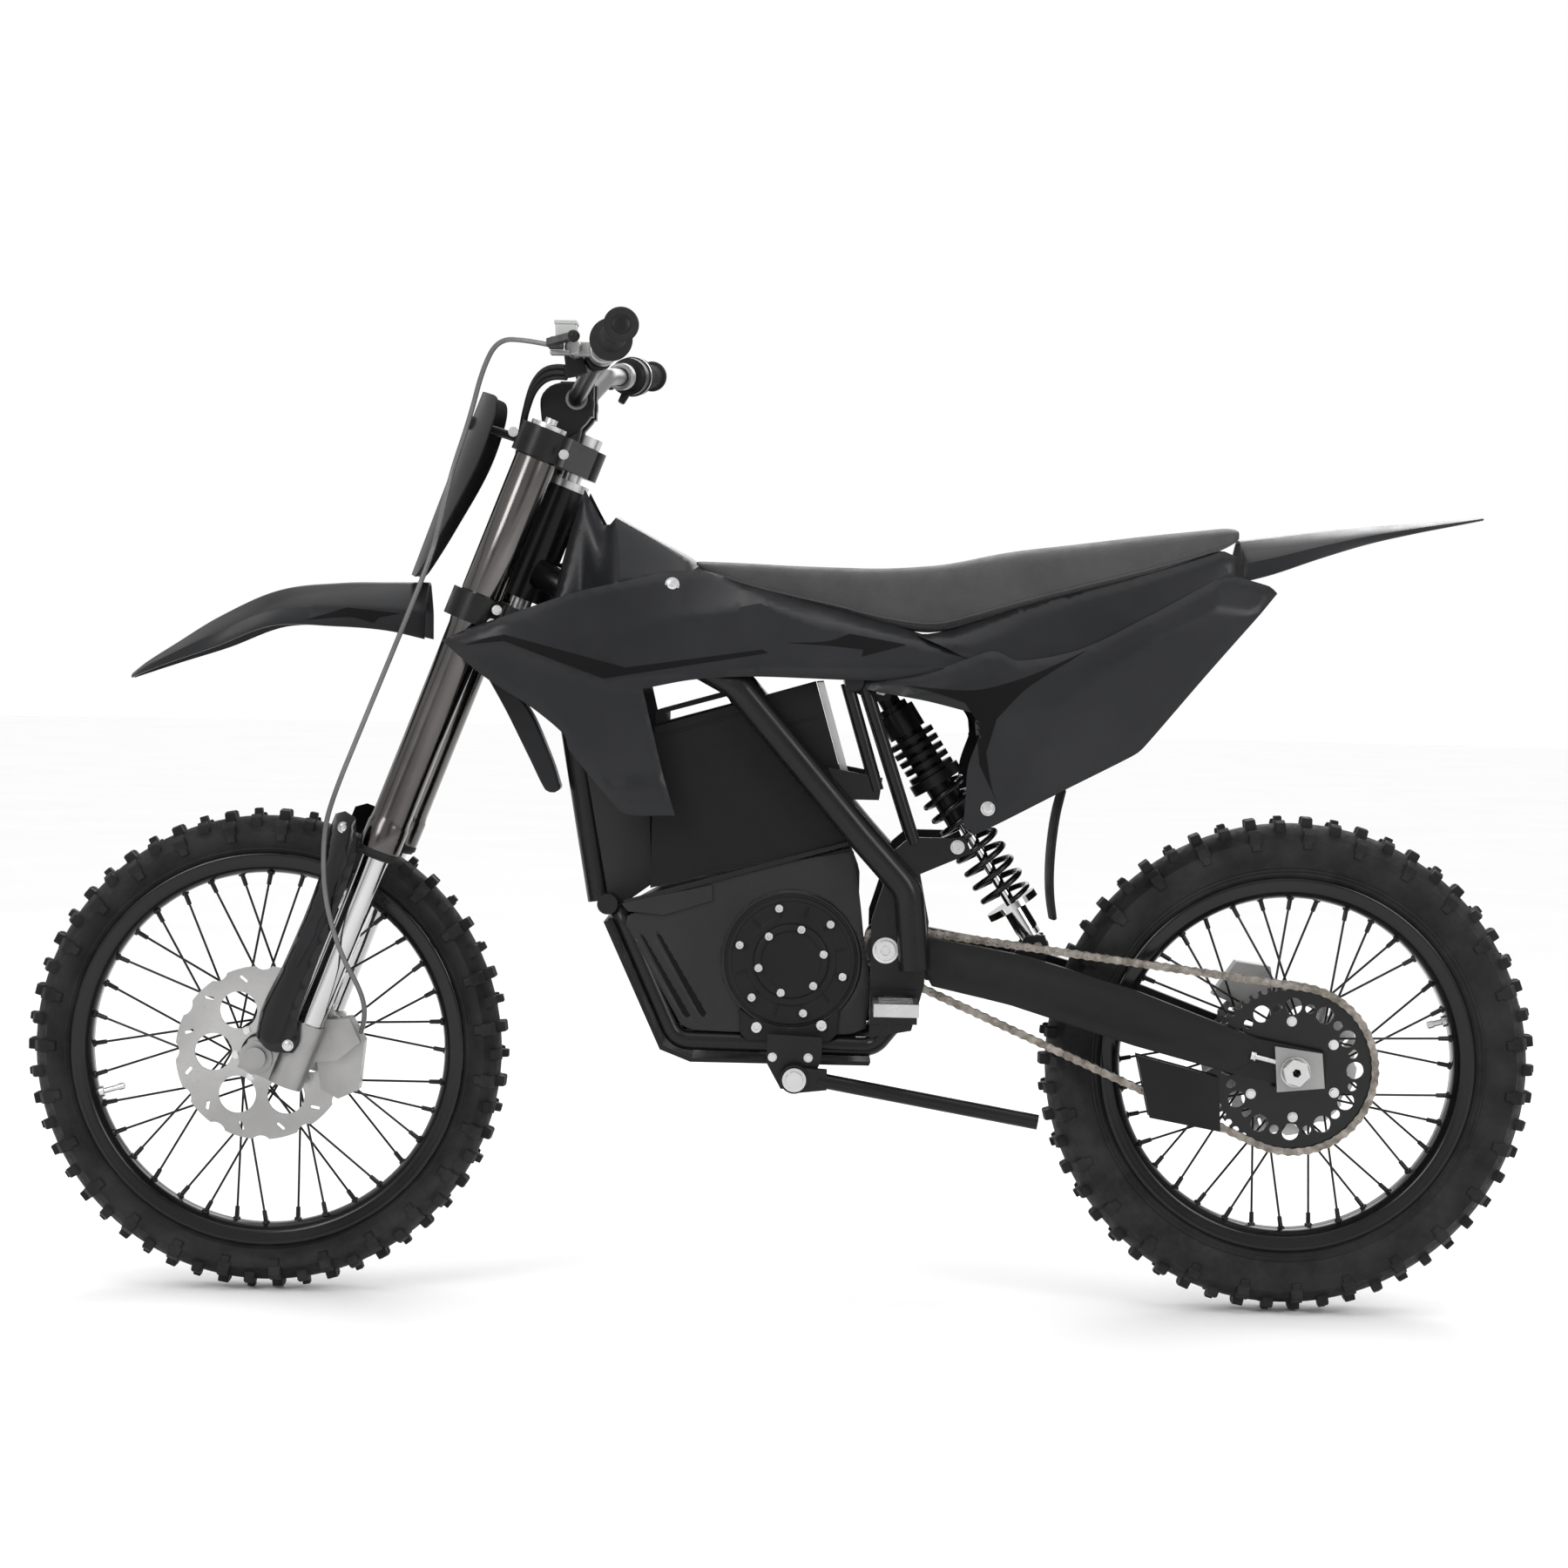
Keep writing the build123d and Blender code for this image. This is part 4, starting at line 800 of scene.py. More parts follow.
def make_shock():
    """A coil spring along the shock, from near its top mount towards its foot."""
    way = (SHOCK_FOOT - SHOCK_TOP).normalized()
    other = way.cross(ACROSS)
    steps = 234
    ring = 12
    verts = []
    for step in range(steps + 1):
        share = step / steps
        angle = 2 * math.pi * COIL_TURNS * share
        full = min(1.0, share / 0.09, (1 - share) / 0.09)
        wire = WIRE_R - 0.9 * (1 - full)
        out = ACROSS * math.cos(angle) + other * math.sin(angle)
        centre = SHOCK_TOP + way * (COIL_START + COIL_LENGTH * share) + out * COIL_R
        for k in range(ring):
            turn = 2 * math.pi * k / ring
            verts.append(centre + out * wire * math.cos(turn) + way * wire * math.sin(turn))
    spring = add(
        "coil_spring", verts, tube_faces(steps + 1, ring), None, GLOSS_BLACK, "rim_black",
        replaced=("shock_spring",),
    )
    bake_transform(spring)


# --------------------------------------------------------------- bodywork

def blended(here, leave, there, arrive, t):
    """A place on the smooth curve between two points with given directions."""
    return (
        here * (2 * t ** 3 - 3 * t ** 2 + 1)
        + leave * (t ** 3 - 2 * t ** 2 + t)
        + there * (3 * t ** 2 - 2 * t ** 3)
        + arrive * (t ** 3 - t ** 2)
    )


def resample(outline, step, corner=48.0):
    """Rounds an outline's gentle corners and spaces its points evenly."""
    count = len(outline)
    points = [Vector(p) for p in outline]
    keep = []
    for i, point in enumerate(points):
        before = (point - points[i - 1]).normalized()
        after = (points[(i + 1) % count] - point).normalized()
        keep.append(math.degrees(before.angle(after)) > corner)
    result = []
    for i, here in enumerate(points):
        there = points[(i + 1) % count]
        past = points[i - 1]
        beyond = points[(i + 2) % count]
        tangent_a = (there - here) if keep[i] else (there - past) / 2
        tangent_b = (there - here) if keep[(i + 1) % count] else (beyond - here) / 2
        length = (there - here).length
        for tangent in (tangent_a, tangent_b):
            if tangent.length > length:
                tangent *= length / tangent.length
        pieces = max(1, round(length / step))
        result += [blended(here, tangent_a, there, tangent_b, k / pieces) for k in range(pieces)]
    return result


def follow(plan, value):
    """The amount at a place, along straight runs between (place, amount) pairs."""
    if value <= plan[0][0]:
        return plan[0][1]
    for (a, low), (b, high) in zip(plan, plan[1:]):
        if value <= b:
            return low + (high - low) * (value - a) / (b - a)
    return plan[-1][1]


def above(line, x, z):
    """How far a place is above a line of (x, z) points."""
    return z - follow(line, x)


def tree_of(points):
    """A lookup of the nearest of some side-view points."""
    tree = KDTree(len(points))
    for i, point in enumerate(points):
        tree.insert((point.x, point.y, 0), i)
    tree.balance()
    return tree


def away_from(tree, x, z):
    """How far a place is from the nearest point of a lookup."""
    return tree.find((x, z, 0))[2] if tree else math.inf


def edges_of(triangles):
    """The edges round a sheet and its holes: those that only one triangle has."""
    border = {}
    for triangle in triangles:
        for a, b in zip(triangle, list(triangle[1:]) + [triangle[0]]):
            key = (min(a, b), max(a, b))
            border[key] = None if key in border else (a, b)
    return [pair for pair in border.values() if pair]


def two_skins(triangles, size):
    """The faces of a front sheet, of a back sheet of as many points, and of the wall between."""
    faces = [list(t) for t in triangles]
    faces += [[i + size for i in reversed(t)] for t in triangles]
    return faces + [[b, a, a + size, b + size] for a, b in edges_of(triangles)]


def side_panel(
    name, outline, surface, thickness, body, material, slot, side=-1, replaced=(), step=7.0,
    lip=4.0, drop=2.6, corner=48.0, creases=(),
):
    """A moulded sheet: a side-view outline on a curved surface, with a rolled edge."""
    edge = resample(outline, step, corner)
    count = len(edge)
    points = [Vector((p.x, p.y)) for p in edge]
    segments = [(i, (i + 1) % count) for i in range(count)]
    for crease in creases:
        start = len(points)
        line = []
        for here, there in zip(map(Vector, crease), map(Vector, crease[1:])):
            pieces = max(1, round((there - here).length / step))
            line += [here.lerp(there, k / pieces) for k in range(pieces)]
        line.append(Vector(crease[-1]))
        points += line
        segments += [(start + i, start + i + 1) for i in range(len(line) - 1)]
    rim = tree_of(edge + [(p + edge[(i + 1) % count]) / 2 for i, p in enumerate(edge)])
    lines = tree_of(points[count:]) if creases else None
    row = 0
    z = min(p.y for p in edge) + step / 2
    while z < max(p.y for p in edge):
        x = min(p.x for p in edge) + (step / 2 if row % 2 else step)
        while x < max(p.x for p in edge):
            if away_from(rim, x, z) > step * 0.6 and away_from(lines, x, z) > step * 0.55:
                points.append(Vector((x, z)))
            x += step
        z += step * 0.87
        row += 1
    flat, _, triangles, *_ = geometry.delaunay_2d_cdt(points, segments, [], 1, 0.001)
    front = []
    back = []
    for point in flat:
        near = away_from(rim, point.x, point.y)
        share = min(1.0, near / lip)
        fall = drop * (1 - math.sqrt(max(0.0, 1 - (1 - share) ** 2)))
        y = surface(point.x, point.y)
        front.append((point.x, side * (y - fall), point.y))
        back.append((point.x, side * (y - fall * 0.2 - thickness), point.y))
    faces = two_skins(triangles, len(flat))
    return add(name, front + back, faces, body, material, slot, sharp=40, replaced=replaced)


PLAN = ((-432, 167), (-300, 166), (-200, 150), (-60, 138), (180, 122))
BELLY = ((-432, 838), (-352, 842), (-226, 797), (-120, 806), (-30, 815), (250, 820))
MID_CREASE = ((-432, 841), (-350, 862), (-245, 854), (-215, 856), (-35, 897), (30, 874), (250, 832))
TOP_EDGE = (
    (-432, 842), (-358, 871), (-272, 903), (-214, 918), (-135, 932), (-112, 936), (-60, 920),
    (0, 905), (60, 891), (120, 875), (175, 861), (250, 843),
)
TOP_OUT = (
    (-432, 160), (-358, 158), (-272, 133), (-214, 116), (-135, 96), (-112, 80), (-60, 64),
    (0, 66), (60, 71), (120, 78), (175, 87), (250, 108),
)


def shroud_surface(x, z):
    """How far out the shroud is, with its creases and its inward lean."""
    y = follow(PLAN, x)
    belly = above(BELLY, x, z)
    if belly > 0:
        top = follow(TOP_EDGE, x) - follow(BELLY, x)
        knee = min(0.85, max(0.2, (follow(MID_CREASE, x) - follow(BELLY, x)) / max(1.0, top)))
        share = min(1.1, belly / max(4.0, top))
        inward = y - follow(TOP_OUT, x)
        low = 0.34 * min(1.0, share / knee)
        high = 0.66 * max(0.0, (share - knee) / (1 - knee))
        y -= inward * (low + high)
    else:
        bend = 0.16 + 0.34 * min(1.0, max(0.0, (x + 226) / 40))
        y += max(belly, -15) * bend
        y += min(0.0, belly + 15) * 0.07
    fold = 672 + (x + 230) * 0.05
    if x > -240 and z < fold:
        y += min(3.0, (fold - z) * 0.3) * min(1.0, (x + 240) / 20)
    ahead = (x + 300) / 132.0
    if ahead < 0:
        y -= 26.0 * ahead * ahead
    return y


REAR_PLAN = ((97, 126), (200, 134), (320, 135), (450, 126), (614, 96))
REAR_WAIST = ((97, 790), (230, 770), (330, 770), (440, 850), (614, 900))
REAR_TOP = ((97, 800), (255, 846), (289, 836), (365, 852), (532, 934), (614, 928))


def rear_surface(x, z):
    """How far out the rear side panel is."""
    y = follow(REAR_PLAN, x) + min(0.0, above(REAR_WAIST, x, z)) * 0.11
    y -= max(0.0, above(REAR_TOP, x, z) + 34) * 0.42
    crease = x - (262 + (z - 650) * 0.42)
    if crease > 0 and z < 800:
        rise = 0.14 * crease if crease < 26 else 3.6 - 0.06 * min(60, crease - 26)
        y += rise * min(1.0, (800 - z) / 80)
    return y


TRIM_LOW = ((153, 850), (255, 838), (289, 829), (365, 845), (450, 888), (532, 934), (560, 945))
TRIM_HIGH = ((153, 862), (205, 867), (310, 902), (447, 941), (541, 973), (560, 975))
TRIM_OUT = ((153, 112), (200, 120), (320, 118), (430, 110), (532, 93), (560, 88))
SEAT_OUT = ((153, 84), (205, 86), (310, 94), (447, 92), (541, 81), (560, 76))


def trim_surface(x, z):
    """How far out the tail trim is: wide along its lower edge, meeting the seat above."""
    low = follow(TRIM_LOW, x)
    high = follow(TRIM_HIGH, x)
    outer = follow(TRIM_OUT, x)
    seat = follow(SEAT_OUT, x)
    share = min(1.1, max(0.0, (z - low) / (high - low)))
    return outer - (outer - seat) * (0.45 * share + 0.55 * share ** 3)


SHROUD = [
    (-432, 841), (-400, 856), (-358, 871), (-272, 903), (-214, 918), (-160, 931), (-135, 932),
    (-112, 937), (-60, 921), (0, 906), (60, 892), (120, 876), (175, 860), (250, 842), (214, 824),
    (179, 806), (100, 802), (-40, 804), (-115, 799), (-180, 786), (-169, 742), (-153, 680),
    (-137, 628), (-198, 629), (-221, 650), (-270, 709), (-276, 727), (-315, 759), (-378, 798),
]
SIDE = [
    (97, 799), (118, 808), (170, 812), (255, 842), (289, 831), (365, 847), (450, 890),
    (532, 936), (552, 943), (604, 931), (614, 922), (527, 820), (446, 723), (430, 712),
    (342, 666), (260, 622), (240, 612), (224, 622), (226, 660), (228, 697), (243, 745), (234, 764),
    (174, 778), (118, 787), (99, 791),
]
TRIM = [
    (153, 863), (175, 862), (205, 868), (310, 903), (447, 942), (541, 974), (560, 968),
    (560, 942), (532, 925), (450, 878), (365, 835), (289, 818), (240, 826), (190, 848),
]


def cast_on(piece, side):
    """How far out a finished panel's face is, for a thin layer laid on it."""
    mesh = piece.data
    tree = BVHTree.FromPolygons(
        [v.co.copy() for v in mesh.vertices], [list(p.vertices) for p in mesh.polygons]
    )

    def height(x, z):
        for near in ((0, 0), (1.5, 0), (-1.5, 0), (0, 1.5), (0, -1.5), (3, 3), (-3, -3)):
            start = Vector(((x + near[0]) * MM, side * 0.6, (z + near[1]) * MM))
            hit = tree.ray_cast(start, Vector((0, -side, 0)))
            if hit[0] is not None:
                return abs(hit[0].y) / MM + 0.55
        return 100.0

    return height


PANEL_SCREWS = []


def decal(name, panel, outline, body, slot, side=-1, step=4.0, corner=20.0):
    """A thin black layer on a panel."""
    return side_panel(
        name, outline, cast_on(panel, side), 0.25, body, DECAL, slot, side, (), step, 0.6, 0.05,
        corner,
    )


def screw(build, place, side, radius=7.0):
    """A domed panel screw in a washer."""
    x, y, z = place
    way = (0, side, 0)
    profile = [(0, radius * 1.3), (1.2, radius * 1.3), (1.4, radius), (2.8, radius * 0.9)]
    profile += [(3.6, radius * 0.5)]
    build.lathe((x, y, z), way, profile, 28, False)
    build.lathe((x, y + side * 2.6, z), way, [(0, radius * 0.42), (1.3, radius * 0.42)], 6, False)


def sheet_loft(name, stations, section, body, thickness, replaced=()):
    """A plastic sheet through cross sections, each a list of (y, z) points at an x."""
    verts = []
    for station in stations:
        for y, z in section(*station):
            verts.append((station[0], y, z))
    faces = grid_faces(len(stations), len(section(*stations[0])))
    piece = add(name, verts, faces, body, PLASTIC, "body_plastic", sharp=30, replaced=replaced)
    thicken(piece, thickness, -1.0)
    soften(piece, 0.6, 2, 40)
    return piece


def smooth_stations(stations, step):
    """Adds in-between stations along smooth curves."""
    result = []
    count = len(stations)
    for i in range(count - 1):
        here = Vector(stations[i])
        there = Vector(stations[i + 1])
        past = Vector(stations[max(0, i - 1)])
        beyond = Vector(stations[min(count - 1, i + 2)])
        pieces = max(1, round((there[0] - here[0]) / step))
        span = there[0] - here[0]
        slope_a = (there - past) * (span / max(1e-6, there[0] - past[0]))
        slope_b = (beyond - here) * (span / max(1e-6, beyond[0] - here[0]))
        for k in range(pieces):
            result.append(tuple(blended(here, slope_a, there, slope_b, k / pieces)))
    result.append(tuple(stations[-1]))
    return result


def fender_section(x, ridge, edge, half):
    """A peaked fender: a narrow flat top, sloping sides and short turned-down edges."""
    rise = ridge - edge
    right = [
        (half * 0.0, ridge),
        (half * 0.22, ridge - rise * 0.02),
        (half * 0.30, ridge - rise * 0.05),
        (half * 0.62, ridge - rise * 0.28),
        (half * 0.86, ridge - rise * 0.48),
        (half * 0.93, ridge - rise * 0.58),
        (half * 1.0, edge),
    ]
    return [(-y, z) for y, z in reversed(right[1:])] + right


def make_fenders():
    """The front fender on the lower clamp and the rear fender behind the seat."""
    front = smooth_stations(
        [
            (-843, 790, 785, 9), (-826, 804, 792, 26), (-788, 829, 806, 44), (-730, 866, 826, 62),
            (-655, 901, 855, 68), (-574, 912, 856, 68), (-510, 914, 852, 62), (-462, 915, 842, 54),
        ],
        9.0,
    )
    fender = sheet_loft(
        "front_fender_skin", front, fender_section, "steering", SHELL, ("front_fender",)
    )
    arrow = [(-612, 863), (-560, 880), (-494, 874), (-520, 868), (-526, 861), (-556, 868)]
    for side, label in SIDES:
        decal(f"front_fender_mark_{label}", fender, arrow, "steering", "body_plastic", side)
    rear = smooth_stations(
        [
            (572, 990, 936, 78), (610, 995, 947, 80), (668, 1003, 968, 76), (730, 1010, 988, 66),
            (790, 1016, 1003, 52), (850, 1022, 1016, 30), (884, 1026, 1023, 12),
        ],
        10.0,
    )
    sheet_loft("rear_fender_skin", rear, fender_section, "frame", SHELL, ("rear_fender",))


def make_bodywork():
    """Shrouds, rear side panels, tail trims and their black markings."""
    stripe = [
        (-402, 836), (-375, 845), (-352, 850), (-201, 812), (-32, 838), (-25, 834), (-228, 798),
        (-352, 842),
    ]
    arrow = [(-1, 847), (48, 850), (77, 860), (148, 848), (92, 832), (94, 841), (48, 845)]
    horn = [
        (146, 797), (233, 793), (300, 812), (372, 845), (300, 798), (262, 758), (250, 715),
        (258, 672), (266, 652), (242, 700), (236, 756), (222, 777), (180, 790),
    ]
    for side, label in SIDES:
        own = ("shrouds",) if side < 0 else ()
        shroud = side_panel(
            f"shroud_{label}", SHROUD, shroud_surface, 2.6, "frame", PLASTIC, "body_plastic", side,
            own, creases=(
                ((-404, 845), (-350, 862), (-245, 854), (-215, 856), (-36, 896)),
                ((-345, 838), (-226, 797), (-185, 800), (-120, 806), (-30, 812), (160, 815)),
            ),
        )
        decal(f"shroud_stripe_{label}", shroud, stripe, "frame", "body_plastic", side)
        decal(f"shroud_arrow_{label}", shroud, arrow, "frame", "body_plastic", side)
        own = ("side_panels",) if side < 0 else ()
        panel = side_panel(
            f"rear_panel_{label}", SIDE, rear_surface, 2.6, "frame", PLASTIC, "body_plastic", side,
            own, creases=(((265, 657), (295, 728), (322, 792)), ((292, 660), (330, 745))),
        )
        decal(f"rear_panel_horn_{label}", panel, horn, "frame", "body_plastic", side)
        side_panel(
            f"tail_trim_{label}", TRIM, trim_surface, 2.6, "frame", PLASTIC, "body_plastic", side,
        )
        PANEL_SCREWS.extend(
            (x, side * (cast_on(on, side)(x, z) - 0.4), z, side)
            for x, z, on in ((-147, 917, shroud), (254, 645, panel))
        )


def make_tank_cover():
    """The cover between the shrouds: two side wings and a deck that meets the seat."""
    top = (
        (-300, 893), (-292, 930), (-262, 1036), (-237, 991), (-222, 1000), (-126, 948), (-112, 930),
    )
    low = ((-300, 885), (-272, 900), (-214, 915), (-135, 929), (-105, 928))

    def wing(x, z):
        high = follow(top, x)
        foot = follow(low, x)
        share = min(1.0, max(0.0, (high - z) / max(12.0, high - foot)))
        wide = min(1.0, max(0.0, (x + 262) / 45))
        outer = 70 + wide * (shroud_surface(x, foot) - 5 - 70)
        return 58 + (outer - 58) * share ** 0.85

    outline = [
        (-262, 1036), (-248, 1010), (-237, 991), (-229, 992), (-222, 1001), (-170, 973),
        (-126, 949), (-112, 938), (-108, 930), (-135, 926), (-214, 911), (-272, 896), (-300, 886),
        (-292, 930),
        (-276, 992),
    ]
    for side, label in SIDES:
        own = ("tank_cover",) if side < 0 else ()
        side_panel(
            f"tank_wing_{label}", outline, wing, 2.4, "frame", PLASTIC, "body_plastic", side, own,
            6.0, 3.0, 2.0, 30.0, (((-222, 998), (-236, 950), (-240, 910)),),
        )
    ridge = [(-222, 1000, 55), (-170, 972, 57), (-126, 949, 56), (-112, 938, 54)]
    stations = smooth_stations(ridge, 8)

    def deck(x, z, half):
        shares = (-1, -0.85, -0.6, -0.3, 0, 0.3, 0.6, 0.85, 1)
        return [(half * t, z + 5 * (1 - t * t) - 1.5) for t in shares]

    sheet_loft("tank_deck", stations, deck, "frame", TANK_SHELL)


SEAT = [
    (-122, 946, 943, 44), (-112, 946, 938, 49), (-60, 945, 918, 55), (0, 943, 902, 60),
    (60, 942, 888, 66), (120, 942, 872, 73), (175, 946, 864, 80), (205, 950, 868, 83),
    (280, 966, 892, 90), (360, 977, 916, 92), (446, 989, 941, 89), (520, 998, 965, 82),
    (557, 1002, 981, 76), (570, 1000, 991, 72),
]


def make_seat():
    """A long moulded foam seat under stretched vinyl, with a sewn edge along each side."""
    stations = smooth_stations(SEAT, 9.0)
    ring = 48
    verts = []
    for x, top, low, half in stations:
        tall = max(3.0, top - low)
        middle_z = (top + low) / 2
        for k in range(ring):
            turn = 2 * math.pi * k / ring
            c = math.cos(turn)
            s = math.sin(turn)
            power = 0.42 if s > 0 else 0.16
            y = half * math.copysign(abs(c) ** 0.42, c)
            z = middle_z + tall / 2 * math.copysign(abs(s) ** power, s)
            if s > 0:
                y *= 1.0 - 0.10 * s
                z += 3.0 * (1 - (y / half) ** 2)
            else:
                y *= 1.0 + 0.03 * s
            verts.append((x, y, z))
    faces = tube_faces(len(stations), ring)
    seat = add("seat_cover", verts, faces, "frame", VINYL, "seat_vinyl", 60, ("seat_cushion",))
    subdivide(seat, 1)
    seam = Build()
    for side in (-1, 1):
        line = []
        for x, top, low, half in stations[3:-2]:
            line.append((x, side * half * 0.992, low + (top - low) * 0.13))
        for a, b in zip(line, line[1:]):
            seam.rod(a, b, 1.5, 10)
    seam.make("seat_piping", "frame", VINYL, "seat_vinyl", sharp=80)


def make_plate():
    """The number plate: a curved shield in front of the bars."""
    rows = [
        (-22, 66), (-10, 74), (20, 78), (60, 80), (100, 76), (140, 68), (175, 61), (200, 54),
        (222, 47), (229, 40),
    ]
    verts = []
    steps = 16
    for down, half in rows:
        for k in range(steps + 1):
            t = -1 + 2 * k / steps
            across = half * t
            ahead = 103.0 - 40.0 * (across / 84.0) ** 2 - 0.02 * max(0.0, down - 100)
            verts.append(fork_point(down, ahead, across))
    plate = add(
        "number_shield", verts, grid_faces(len(rows), steps + 1), "steering", PLASTIC,
        "body_plastic", 40, ("number_plate",),
    )
    subdivide(plate, 2)
    thicken(plate, SHELL, 0)
    soften(plate, 0.7, 2, 50)
    mounts = Build()
    for across in (-26, 26):
        mounts.rod(fork_point(16, 40, across), fork_point(20, 96, across), 5.0, 16)
        mounts.rod(fork_point(20, 90, across), fork_point(21, 104, across), 9.0, 20)
    mounts.rod(fork_point(16, 42, -34), fork_point(16, 42, 34), 6.0, 16)
    mounts.make("shield_mounts", "steering", CONTROL_BLACK, "control_black")


GUARD = [
    (-552, 624), (-537, 617), (-536, 566), (-562, 488), (-586, 420), (-605, 362), (-602, 334),
    (-610, 320), (-640, 322), (-660, 338), (-654, 374), (-627, 430), (-596, 504), (-578, 560),
    (-572, 603), (-566, 620),
]


def make_guards():
    """A moulded guard in front of each fork leg, with slanted marks and a screw."""
    marks = (
        [(-576, 545), (-549, 583), (-546, 560), (-566, 520)],
        [(-592, 505), (-560, 548), (-562, 520), (-585, 478)],
        [(-612, 458), (-578, 505), (-585, 470), (-607, 428)],
    )
    screws = Build()

    def face(x, z):
        centre = fork_point(0)
        offset = Vector((x, 0, z)) - centre
        ahead = offset.dot(FORK_AHEAD)
        return 134.0 - max(0.0, abs(ahead - 8) - 8) ** 2 * 0.013

    for side, label in SIDES:
        own = ("fork_guards",) if side < 0 else ()
        guard = side_panel(
            f"fork_guard_{label}", GUARD, face, 2.8, "fork_lower", GLOSS_BLACK, "gloss_black", side,
            own, 6.0, 4.0, 3.0, 40.0,
        )
        for index, mark in enumerate(marks):
            side_panel(
                f"guard_mark_{label}_{index}", mark, cast_on(guard, side), 0.25, "fork_lower",
                PLASTIC, "gloss_black", side, (), 4.0, 0.6, 0.05, 20.0,
            )
        for x, z in ((-616, 330), (-553, 604)):
            screw(screws, (x, side * (cast_on(guard, side)(x, z) - 0.4), z), side, 5.5)
    screws.make("guard_screws", "fork_lower", BOLT_STEEL, "gloss_black")


# ------------------------------------------------------ motor and battery

def circle(centre, radius, count=72):
    """Side-view places round a centre."""
    return [
        (
            centre[0] + radius * math.cos(2 * math.pi * k / count),
            centre[1] + radius * math.sin(2 * math.pi * k / count),
        )
        for k in range(count)
    ]


def face_plate(name, outline, hole, front, depth, grooves):
    """A flat cast face on the left, with a round window and sunk channels."""

    def level(x, z):
        for (ax, az), (bx, bz), width, sink in grooves:
            span = Vector((bx - ax, bz - az))
            t = min(1.0, max(0.0, Vector((x - ax, z - az)).dot(span) / span.length_squared))
            away = (Vector((x - ax, z - az)) - span * t).length
            if away < width:
                return front - sink * min(1.0, (width - away) / 2.5)
        return front

    outer = resample(outline, 5.0, 25.0)
    points = []
    segments = []
    for ring in (outer, [Vector(p) for p in circle(*hole)]):
        start = len(points)
        points += ring
        segments += [(start + i, start + (i + 1) % len(ring)) for i in range(len(ring))]
    tree = tree_of(points)
    z = min(p.y for p in outer)
    while z < max(p.y for p in outer):
        x = min(p.x for p in outer)
        while x < max(p.x for p in outer):
            if away_from(tree, x, z) > 2.4:
                points.append(Vector((x, z)))
            x += 4.0
        z += 4.0
    flat, _, triangles, *_ = geometry.delaunay_2d_cdt(points, segments, [], 2, 0.001)
    verts = []
    for point in flat:
        near = min(1.0, away_from(tree, point.x, point.y) / 2.4)
        verts.append((point.x, 1.2 * (1 - near) - level(point.x, point.y), point.y))
    verts += [(p.x, depth - front, p.y) for p in flat]
    faces = two_skins(triangles, len(flat))
    return add(name, verts, faces, "frame", CASE_GREY, "cast_black", sharp=28)


def make_motor():
    """The motor's round cover with its rings, ribs and apron, and the cast housing round it."""
    origin = on_axle(MOTOR, MOTOR_BACK_Y)
    cover = Build()
    profile = [
        (0, 81.5), (5.8, 81.5), (7.2, 80.0), (7.6, 76.0), (6.6, 74.8), (6.6, 58), (7.8, 56),
        (7.8, 48), (10.4, 46.5), (11.4, 44.5), (11.4, 39.0), (10.2, 37.5), (9.4, 36.5), (9.4, 0.1),
    ]
    cover.lathe(origin, LEFTWARD, profile, 96, False)
    cover.make("motor_face", "frame", CAST_BLACK, "cast_black", sharp=30, replaced=("motor_cover",))
    ribs = Build()
    for index in range(12):
        out, along = around(14 + 30 * index)
        ribs.block(origin + out * 64 - ACROSS * 7.4, (15.0, 2.2, 1.8, 0.9), (out, along, -ACROSS))
    soften(ribs.make("motor_ribs", "frame", CAST_BLACK, "cast_black"), 0.5)
    rim = Build()
    ring = [(0, 83.2), (3.2, 83.2), (4.4, 84.2), (4.4, 87.0), (3.4, 88.4), (0, 88.4)]
    rim.lathe(origin, LEFTWARD, ring, 96)
    rim.make("motor_ring", "frame", RIM_BLACK, "cast_black", sharp=30)
    apron = [
        (-52, 384), (-50, 352), (-42, 344), (62, 344), (72, 354), (74, 388), (60, 372), (12, 359),
        (-36, 372),
    ]
    plate = Build().slab(apron, -91.5, MOTOR_BACK_Y)
    soften(plate.make("motor_apron", "frame", CAST_BLACK, "cast_black"), 1.4)
    make_case_face()
    tray = [(-204, 514), (-90, 540), (-88, 520), (-150, 500), (-196, 504)]
    edge = [(-202, 518), (98, 604), (99, 598), (-198, 511)]
    for name, outline, low, high, material, width in (
        ("battery_tray_lip", tray, -91.0, -86.2, CASE_GREY, 1.0),
        ("battery_tray_edge", edge, -90.5, -86.4, ARM_PAINT, 0.8),
    ):
        rail = Build().slab(outline, low, high)
        soften(rail.make(name, "frame", material, "cast_black"), width)
    # Black inlays laid in the two cast channels: painted shade for the depth that the shallow face
    # plate cannot give the grooves.
    slots = Build()
    for dx in (0, 21):
        slot = [(-180, 476), (-172, 474), (-112, 374), (-118, 371), (-124, 376)]
        slots.slab([(x + dx, z) for x, z in slot], -85.9, -85.1)
    slots.make("motor_case_slot_shade", "frame", DECAL, "cast_black")
    gusset = Build()
    outline = [(-258, 700), (-206, 634), (-172, 640), (-168, 536), (-206, 508), (-224, 522)]
    for low in (-42, 38):
        gusset.slab(outline, low, low + 4)
    soften(gusset.make("down_tube_gussets", "frame", CASE_GREY, "frame_black"), 1.0)
    lines = Build()
    lines.slab([(-158, 728), (-60, 757), (-60, 754.6), (-157, 725.6)], -87.4, -86.1)
    lines.slab([(-20, 740), (38, 755), (38, 753), (-19, 738)], -87.4, -86.1)
    lines.make("battery_lines", "frame", BATTERY_BLACK, "battery_black")


